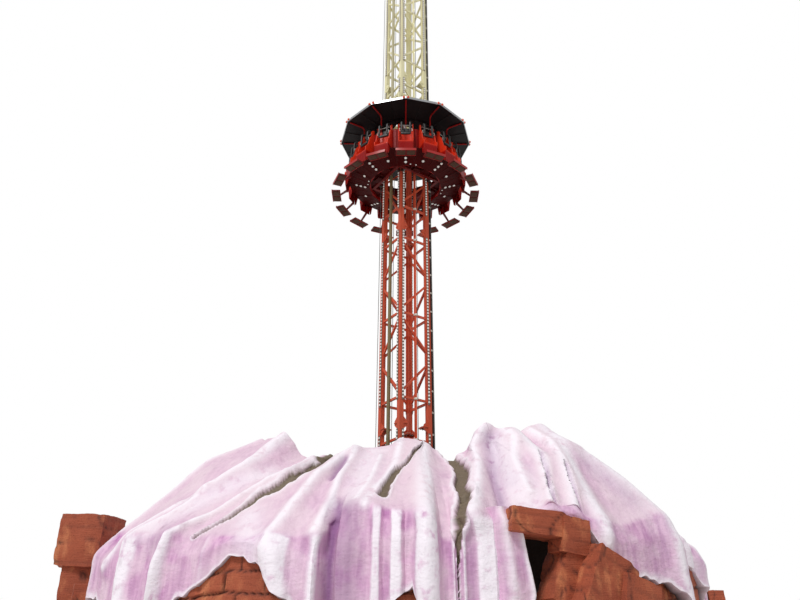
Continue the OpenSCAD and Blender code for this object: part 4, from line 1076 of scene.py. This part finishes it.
STRIP_X = 1.846
gondola_paint = painted_steel("gondola_paint", (118, 9, 9), (150, 17, 14), 0.45, shine=0.15)
dress(["radial_frame", "back_drum", "canopy_arms"], gondola_paint)
strip_outline = [(1.8297, 0.02), (STRIP_X, 0.03), (STRIP_X, 0.8), (1.8297, 0.81)]
strip = joined(
    prism([(x, BEAM_TOP + z) for x, z in strip_outline], -0.032, 0.032, 0.004),
    bolts_on([(STRIP_X, 0, BEAM_TOP + z) for z in (0.08, 0.3, 0.52, 0.74)], TO_X, 0.45),
)
strip_out = Matrix.Translation((DRUM_R / cos(radians(SEAT_STEP / 2)) - DRUM_R - 0.002, 0, 0))
strip_places = [seat_place(number + 0.5) @ strip_out for number in range(SEATS)]
make("drum_cover_strips", outward(copies(strip, strip_places)), gondola_paint, "gondola")

# ---- Underside ----
# Sixteen glossy dark red fibreglass panels close the gondola from below. Each has a raised flange along both seams,
# pressed ribs, and round white lamps in chrome bezels on its seams; four of them carry two small lamps further in.

PETAL_IN = 1.32
BEAM_OUT = 2.16
PETAL_OUT = BEAM_OUT - 0.065
SLOPE = 0.23 / (BEAM_OUT - PETAL_IN)
SKIN_THICK = 0.008
SEAM_LAMPS = (1.48, 1.64, 1.8)
half_step = radians(SEAT_STEP / 2)
panel_gloss = painted_steel("underside_gloss", (50, 2, 2), (72, 4, 4), 0.45, shine=0.08)
dress(["underside_panels"], panel_gloss)


def under_at(run, across, drop):
    """A point run metres outwards over a panel's lower face, across it, and drop metres below it."""
    level = BEAM_TOP - 0.1 - (BEAM_OUT - PETAL_IN) * SLOPE - 0.0003 - 0.04 * sin(half_step) * SLOPE
    slant = 1 / sqrt(1 + SLOPE * SLOPE)
    depth = (SKIN_THICK + drop) * slant
    return PETAL_IN * cos(half_step) + run * slant + depth * SLOPE, across, level + run * SLOPE * slant - depth


def under_strip(runs, middles, widths, deep):
    """A pressed rib on a panel's lower face, rounded across, its run, middle and half width given at both ends."""
    rows = []
    for share in np.linspace(0, 1, 13):
        run, middle, wide = (a + (b - a) * share for a, b in (runs, middles, widths))
        taper = min(1, share * 12, (1 - share) * 12)
        row = [under_at(run, middle + c * wide, deep * taper * (1 - c ** 4) - 0.0005) for c in np.linspace(-1, 1, 7)]
        rows.append(row + [under_at(run, middle, -0.003)])
    return outward(wrapped(np.array(rows)))


seam_in, seam_out = PETAL_IN * sin(half_step) - 0.022, PETAL_OUT * sin(half_step) - 0.022
ribs = [under_strip((0.10, 0.74), (0, 0), (0.02, 0.045), 0.012)]
for side in (-1, 1):
    ribs.append(under_strip((0.01, 0.79), (side * seam_in, side * seam_out), (0.013, 0.013), 0.014))
    ribs.append(under_strip((0.30, 0.74), (side * 0.17, side * 0.235), (0.012, 0.02), 0.008))
panel_places = [seat_place(number + 0.5) for number in range(SEATS)]
make("underside_ribs", copies(joined(*ribs), panel_places), panel_gloss, "gondola", smooth=40)

face_down = Matrix.Rotation(-atan(SLOPE), 4, "Y") @ UPSIDE_DOWN


def seam_lamp(number, radius):
    """The place of a lamp on the seam under a seat."""
    height = BEAM_TOP - 0.1 - (BEAM_OUT - radius) * SLOPE - 0.022
    return seat_place(number) @ Matrix.Translation((radius, 0, height)) @ face_down


lamp_bezel = lathe([(0, 0), (0.052, 0), (0.052, 0.008), (0.046, 0.014), (0.040, 0.010), (0, 0.010)], 20)
lamp_lens = lathe([(0, 0.006), (0.040, 0.006), (0.040, 0.012), (0.031, 0.024), (0.016, 0.031), (0, 0.033)], 20)
small_bezel = lathe([(0, 0), (0.027, 0), (0.027, 0.006), (0.022, 0.010), (0, 0.008)], 14)
small_lens = lathe([(0, 0.005), (0.021, 0.005), (0.021, 0.010), (0.012, 0.019), (0, 0.021)], 14)
big = [seam_lamp(number, r) for number in range(0, SEATS, 2) for r in SEAM_LAMPS]
big += [seam_lamp(number, 1.6) for number in range(1, SEATS, 2)]
small = [panel @ Matrix.Translation(under_at(0.08, y, 0)) @ face_down for panel in panel_places[::4]
         for y in (-0.1, 0.1)]
bezels = outward(joined(copies(lamp_bezel, big), copies(small_bezel, small)))
lenses = outward(joined(copies(lamp_lens, big), copies(small_lens, small)))
chrome = flecked("chrome_bezels", 0.14, (198, 196, 192), (226, 224, 220), 0.03, (0.1, 0.3), metal=1.0)
make("underside_bezels", bezels, chrome, "gondola")
make("underside_lamps", lenses, milky_cap, "gondola", smooth=50)

# The deck between the hub ring and the carriage: four folded sheets, each with stiffening ribs and a motor cover.
DECK_Z = FOOT_Z + 0.5
CAGE_SIDE = 0.8915


def deck_sheet(radius, z, deep):
    """The flat piece between one side of the carriage and the ring of flats around it."""
    points = []
    for t in np.linspace(-44.0, 44.0, 45):
        from_flat = (t + TOWER_TURN + SEAT_STEP / 2) % SEAT_STEP - SEAT_STEP / 2
        r = radius / cos(radians(from_flat))
        if r * cos(radians(t)) > CAGE_SIDE + 0.004:
            points.append((r * cos(radians(t)), r * sin(radians(t))))
    outline = [(CAGE_SIDE, points[0][1]), *points, (CAGE_SIDE, points[-1][1])]
    return outward(wrapped(np.array([[(x, y, level) for x, y in outline] for level in (z, z + deep)])))


deck = joined(
    deck_sheet(1.2605, DECK_Z, 0.006),
    *[block((CAGE_SIDE, y - 0.02, DECK_Z - 0.05), (1.17, y + 0.02, DECK_Z + 0.001), 0.004) for y in (-0.42, 0.0, 0.42)],
    block((0.93, -0.34, DECK_Z - 0.11), (1.12, -0.08, DECK_Z + 0.001), 0.02),
)
cage_sides = [tower_side(quarter) for quarter in range(4)]
make("hub_deck", copies(deck, cage_sides), panel_gloss, "gondola")

# ---- Seats ----
# One-piece fibreglass seats, moulded in glossy orange-red gel coat: a dished back and pan, a calf panel that is
# painted darker red below the pan as painted shade, and a thick rounded wing on each side. They are bolted to the drum
# and to the beams.

SEAT_HALF = 0.2297
PIVOT_X, PIVOT_Z = DRUM_R + 0.025, FOOT_Z + 1.69
back_x = DRUM_R + 0.0003
front_x = back_x + 0.4
seat_places = [seat_place(number) for number in range(SEATS)]
seat_line = (
    [(back_x + 0.03, BEAM_TOP + 0.86 - 0.012), (back_x + 0.03, BEAM_TOP + 0.6), (back_x + 0.032, BEAM_TOP + 0.4)]
    + arc(back_x + 0.15, PAN_Z + 0.13, 0.12, 180, 270, 8)
    + [(back_x + 0.24, PAN_Z + 0.012), (back_x + 0.31, PAN_Z + 0.022)]
    + arc(front_x - 0.05, PAN_Z - 0.03, 0.05, 90, 0, 6)
    + [(front_x - 0.004, PAN_Z - 0.12), (front_x - 0.018, PAN_Z - 0.27), (front_x - 0.03, FOOT_Z + 0.285)]
)


def evenly(line, count):
    """Evenly spaced points on a line of (x, z) points, and how far along it they are in metres."""
    line = np.array(line)
    steps = np.concatenate([[0], np.cumsum(np.linalg.norm(np.diff(line, axis=0), axis=1))])
    even = np.linspace(0, steps[-1], count)
    return np.interp(even, steps, line[:, 0]), np.interp(even, steps, line[:, 1]), even


def seat_skin(line, dish, thick, half_wide, columns):
    """A moulded skin along a line of (x, z) points, dished across and closed behind."""
    x, z, along = evenly(line, 64)
    out = np.stack([-np.gradient(z), np.gradient(x)], -1)
    out /= np.linalg.norm(out, axis=1, keepdims=True)
    share = np.linspace(-1, 1, columns)
    rim = np.minimum(1, np.minimum(along, along[-1] - along) / 0.02)
    sink = dish(along / along[-1])[:, None] * (1 - share[None] ** 2) ** 0.8
    sink = sink + 0.004 * np.clip(np.abs(share) * 8 - 7, 0, 1)[None] + (0.008 * (1 - rim) ** 2)[:, None]
    across = np.broadcast_to(share * half_wide, sink.shape)
    front = np.stack([x[:, None] - out[:, :1] * sink, across, z[:, None] - out[:, 1:] * sink], -1)
    behind = front - thick * np.stack([out[:, 0], 0 * x, out[:, 1]], -1)[:, None]
    rows, count = sink.shape
    points = np.concatenate([front.reshape(-1, 3), behind.reshape(-1, 3)])

    def at(r, c, side):
        return side * rows * count + r * count + c

    faces = []
    for r in range(rows - 1):
        for c in range(count - 1):
            faces.append((at(r, c, 0), at(r, c + 1, 0), at(r + 1, c + 1, 0), at(r + 1, c, 0)))
            faces.append((at(r, c, 1), at(r + 1, c, 1), at(r + 1, c + 1, 1), at(r, c + 1, 1)))
        for c, turn in ((0, 1), (count - 1, -1)):
            faces.append([at(r, c, 0), at(r + 1, c, 0), at(r + 1, c, 1), at(r, c, 1)][::turn])
    for c in range(count - 1):
        for r, turn in ((0, -1), (rows - 1, 1)):
            faces.append([at(r, c, 0), at(r, c + 1, 0), at(r, c + 1, 1), at(r, c, 1)][::turn])
    return outward((points, faces))


def seat_dish(share):
    """How deep the middle is dished: the back and the pan most, the calf panel a little."""
    return np.interp(share, [0, 0.1, 0.45, 0.62, 0.72, 1], [0.004, 0.02, 0.024, 0.016, 0.004, 0.012])


skin = seat_skin(seat_line, seat_dish, 0.012, SEAT_HALF, 17)
wing_line = (
    [(back_x, PAN_Z - 0.06), (back_x, PIVOT_Z + 0.04), (back_x + 0.06, PIVOT_Z + 0.04)]
    + arc(back_x + 0.33, PIVOT_Z - 0.16, 0.21, 150, 235, 14)
    + arc(back_x + 0.27, PAN_Z + 0.06, 0.14, 75, 0, 10)
    + [(front_x, PAN_Z - 0.06), (front_x - 0.06, FOOT_Z + 0.3), (front_x - 0.11, FOOT_Z + 0.32),
       (front_x - 0.16, PAN_Z - 0.12)]
)
wings = joined(*[prism(wing_line, side * 0.23, side * 0.26, 0.009, 3) for side in (-1, 1)])
gel = Finish("seat_gel_coat", 0.36, coat=0.03, shine=0.18)
gel_cloud = gel.grain(0.5, (1, 1, 2), 4)
# a lit copy of the red above the pan and a darker shaded copy below it: painted shade on the calf panel and lower wings
gel_shaded, gel_lit = gel.mix(gel_cloud, (132, 8, 8), (156, 14, 11)), gel.mix(gel_cloud, (200, 40, 18), (228, 62, 32))
gel_red = gel.mix(gel.between(gel.height(), PAN_Z - 0.1, PAN_Z + 0.02), gel_shaded, gel_lit)
gel_red = gel.layer(gel.between(gel.grain(0.04, (1, 3, 1), 7, 3), 0.6, 0.72), 0.3, gel_red, (120, 30, 22))
gel_red = gel.layer(gel.edges(0.008), 0.5, gel_red, (226, 110, 84))
gel_finish = gel.done(gel_red, (0.16, 0.38, gel_cloud), gel.grain(0.02, detail=3), 0.0004)
seat = joined(skin, wings)
for name, numbers in (("seats_front", range(-4, 4)), ("seats_back", range(4, 12))):
    make(name, copies(seat, [seat_place(number) for number in numbers]), gel_finish, "gondola", [name])

# Head pads, moulded in black vinyl and glued to the top of each back.
pad_outline = [(0.004, 0.86), (0.034, 0.86), (0.05, 0.84), (0.046, 0.66), (0.031, 0.62), (0.004, 0.62)]
head_pad = prism([(back_x + x, BEAM_TOP + z) for x, z in pad_outline], -0.12, 0.12, 0.012, 3)
pad_vinyl = flecked("headrest_vinyl", 0.5, (14, 13, 13), (30, 28, 28), 0.2, (0.4, 0.62), 0.0008, fine=(0.004, 4))
make("seat_headrests", copies(head_pad, seat_places), pad_vinyl, "gondola", smooth=50)

# ---- Foot plates ----
# Folded steel foot plates on one arm each, with a turned-up dark red rim at the outer edge and two ribbed grey-brown
# rubber mats that are screwed down where the shoes rest, and two soft pads glued underneath.

dress(["footrests"], painted_steel("foot_plate_paint", (84, 12, 11), (108, 20, 17), 0.45, shine=0.25))


def foot_bar(x_from, x_to, z_from, z_to, middle, half, rounding=0.0, taper=0.0):
    """A bar over or under a foot plate, between two heights, shorter at the second one by taper at each end."""
    outline = [(x_from, z_from), (x_from + taper, z_to), (x_to - taper, z_to), (x_to, z_from)]
    return prism([(x, FOOT_Z + z) for x, z in outline], middle - half, middle + half, rounding)


mats = []
for middle in (-0.165, 0.165):
    mats.append(foot_bar(2.375, 2.635, 0.0002, 0.008, middle, 0.135, 0.004))
    mats += [foot_bar(x, x + 0.010, 0.007, 0.0125, middle, 0.122, taper=0.002) for x in np.arange(2.395, 2.63, 0.018)]
    mats.append(foot_bar(2.385, 2.625, -0.0402, -0.056, middle, 0.13, 0.005, 0.01))
mat_rubber = flecked("mat_rubber", 0.75, (58, 36, 26), (88, 60, 44), 0.07, (0.55, 0.85), 0.0008, detail=6,
                     fine=(0.006, 4), shine=0.2)
make("foot_mats", copies(joined(*mats), seat_places), mat_rubber, "gondola")
rims = joined(foot_bar(2.66, 2.672, -0.066, 0.024, 0, 0.345, 0.003),
              foot_bar(2.3585, 2.3665, -0.058, -0.03, 0, 0.335, 0.002))
rim_red = painted_steel("foot_rim_paint", (150, 22, 20), (178, 34, 28), 0.3, coat=0.12)
make("foot_plate_rims", copies(rims, seat_places), rim_red, "gondola")

# ---- Canopy ----
# A twelve-sided fibreglass roof with raised joint ribs, near-black inside and out, on curved dark red tube arms.
# A bright aluminium band runs round its edge and carries an orange marker lamp on each side of every corner.

CANOPY_R = 2.44
HALF_SIDE = radians(15)
roof_hole = 1.282 / cos(HALF_SIDE)
black_gloss = painted_steel("canopy_black", (12, 8, 9), (26, 18, 20), 0.42, shine=0.2)
trim = flecked("rim_aluminium", 0.36, (166, 168, 172), (206, 208, 210), 0.01, (0.28, 0.5), 0.0003, stretch=(1, 1, 0.2),
               metal=0.9)
dress(["canopy_roof"], black_gloss)
dress(["canopy_rim"], trim)


def roof_rib(x_from, x_to, low, high, half, rounding):
    """A rib on the canopy, from its hole towards its edge, between two slopes."""
    outline = [(x_from, low(x_from)), (x_to, low(x_to)), (x_to, high(x_to)), (x_from, high(x_from))]
    return prism(outline, -half, half, rounding)


def roof_top(x):
    return CANOPY_Z + 0.06 + 0.15 * (CANOPY_R - x) / (CANOPY_R - roof_hole)


corner_places = [spin(30 * number - 90) for number in range(12)]
side_places = [spin(30 * number - 75) for number in range(12)]
top_rib = roof_rib(roof_hole + 0.03, CANOPY_R - 0.03, lambda x: roof_top(x) - 0.001, lambda x: roof_top(x) + 0.012,
                   0.028, 0.004)
low_rib = roof_rib(roof_hole * cos(HALF_SIDE) + 0.03, CANOPY_R * cos(HALF_SIDE) - 0.05,
                   lambda x: CANOPY_Z + 0.001, lambda x: CANOPY_Z - 0.016, 0.02, 0.006)
roof_ribs = outward(joined(copies(top_rib, corner_places), copies(low_rib, side_places)))
collar = copies(deck_sheet(1.345, CANOPY_Z - 0.07, 0.074), cage_sides)
make("canopy_ribs", roof_ribs, black_gloss, "gondola")
make("canopy_collar", collar, black_gloss, "gondola")
arm_foot = joined(
    lathe([(0, 0), (0.055, 0), (0.055, 0.008), (0.034, 0.012), (0.034, 0.03), (0, 0.03)], 18),
    copies(bolt, [spin(45 + 90 * k) @ Matrix.Translation((0.044, 0, 0.009)) @ Matrix.Scale(0.35, 4) for k in range(4)]),
)
foot_places = [corner @ Matrix.Translation((DRUM_R - 0.075, 0, BEAM_TOP + 0.8605)) for corner in corner_places]
make("arm_flanges", outward(copies(arm_foot, foot_places)), gondola_paint, "gondola")
marker_base = lathe([(0, 0), (0.050, 0), (0.050, 0.012), (0.044, 0.017), (0, 0.017)], 18)
marker_lens = lathe([(0, 0.014), (0.044, 0.014), (0.046, 0.028), (0.036, 0.050), (0.018, 0.062), (0, 0.064)], 18)
side_out, side_half = (CANOPY_R + 0.012) * cos(HALF_SIDE), (CANOPY_R + 0.012) * sin(HALF_SIDE)
marker_spots = [Matrix.Translation((side_out, end * (side_half - 0.075), CANOPY_Z + 0.03)) @ TO_X for end in (-1, 1)]
markers = [side @ spot for side in side_places for spot in marker_spots]
amber = flecked("marker_lenses", 0.2, (214, 62, 26), (240, 96, 46), 0.02, (0.12, 0.3), detail=4, coat=0.4)
make("marker_bases", outward(copies(marker_base, markers)), trim, "gondola")
make("marker_lenses", outward(copies(marker_lens, markers)), amber, "gondola", smooth=50)

# ---- Restraints ----
# Over-the-shoulder bars: moulded foam over a steel core, skinned in black vinyl with a sewn seam round each
# shoulder roll and across the chest pad. They swing up on a plated tube behind the rider's head.

SHOULDER = 0.15
ROLL_THICK, ROLL_WIDE = 0.034, 0.035
ROLL_TURNS = [2 * pi * k / 28 for k in range(28)]


def roll_line():
    """Middle line of a shoulder roll from the pivot over the shoulder to the chest pad."""
    x, z = PIVOT_X, PIVOT_Z
    line = [(x + 0.02, z + 0.002), (x + 0.05, z + 0.006)] + arc(x + 0.08, z - 0.11, 0.135, 100, 0, 14)
    return line + [(x + 0.222, z - 0.24), (x + 0.225, z - 0.4), (x + 0.225, z - 0.52)]


def squared(value):
    """A sine or cosine drawn out so that a circle becomes a rounded square."""
    return abs(value) ** 0.7 * (1 if value > 0 else -1)


def shoulder_roll(side):
    """A padded roll with seven swells between its stitches and a welt along both flanks."""
    x, z, along = evenly(roll_line(), 60)
    out = np.stack([np.gradient(z), -np.gradient(x)], -1)
    out /= np.linalg.norm(out, axis=1, keepdims=True)
    rows = []
    for i, share in enumerate(along / along[-1]):
        swell = 1 + 0.05 * sin(share * pi * 7) ** 2
        close = min(1.0, 0.55 + 3.2 * min(share, 1 - share) + 0.001)
        thick, wide = ROLL_THICK * swell * close, ROLL_WIDE * swell * min(1.0, close + 0.08)
        if share < 0.14:
            thick *= 0.62 + 0.38 * share / 0.14
        row = []
        for t in ROLL_TURNS:
            welt = 1.0 - 0.05 * (abs(abs(cos(t)) - 0.05) < 0.06)
            off = thick * squared(cos(t)) * welt
            row.append((x[i] - out[i, 0] * off, side * SHOULDER + wide * squared(sin(t)) * welt,
                        z[i] - out[i, 1] * off))
        rows.append(row)
    return outward(wrapped(np.array(rows)))


def chest_pad():
    """A crowned pad whose sides pull in between its corners, with two sewn channels."""
    low = np.array((PIVOT_X + 0.192, -0.184, PIVOT_Z - 0.588))
    high = np.array((PIVOT_X + 0.258, 0.184, PIVOT_Z - 0.502))
    unit, ball, faces = cube_grid(11)
    crown = 0.9 + 0.1 * (1 - unit[:, 1] ** 2)
    channel = 1 - 0.12 * sum(np.maximum(0, 1 - np.abs(unit[:, 1] - seam) / 0.09) for seam in (-0.36, 0.36))
    waist = 1 - 0.02 * (1 - unit[:, 2] ** 2)
    soft = (unit + ball) / 2 * np.stack([crown * channel, waist, crown * channel], -1)
    return outward(((low + high) / 2 + soft * (high - low) / 2, faces))


pads_shape = joined(shoulder_roll(-1), shoulder_roll(1), chest_pad())
vinyl = Finish("restraint_vinyl", 0.48)
vinyl_dust = vinyl.grain(0.12, detail=6)
vinyl_black = vinyl.layer(vinyl.edges(0.01), 0.4, vinyl.mix(vinyl_dust, (15, 14, 14), (38, 35, 35)), (70, 64, 62))
vinyl_finish = vinyl.done(vinyl_black, (0.36, 0.62, vinyl_dust), vinyl.grain(0.0035, detail=3), 0.0009)
GRIP = ((0.17, 0.33), (0.205, 0.33), (0.222, 0.345), (0.222, 0.43), (0.205, 0.445), (0.17, 0.445))
core = [tube([(PIVOT_X, y, PIVOT_Z) for y in (-0.255, -0.2, 0.2, 0.255)], 0.0149, 16)]
for side in (-1, 1):
    stub = [(PIVOT_X + 0.02 + t * 0.05, side * SHOULDER, PIVOT_Z + 0.004 * t) for t in (-0.35, 0, 0.5, 1)]
    grip = [(PIVOT_X + 0.225, side * y, PIVOT_Z - z) for y, z in GRIP]
    core += [tube(stub, 0.017, 14), tube(grip, 0.010, 10)]
for number, place in enumerate(seat_places, 1):
    body = "restraint_%02d" % number
    pads = make("pads_%02d" % number, copies(pads_shape, [place]), vinyl_finish, body, [body], 60)
    make("tube_%02d" % number, copies(joined(*core), [place]), zinc_plate, body, smooth=50)
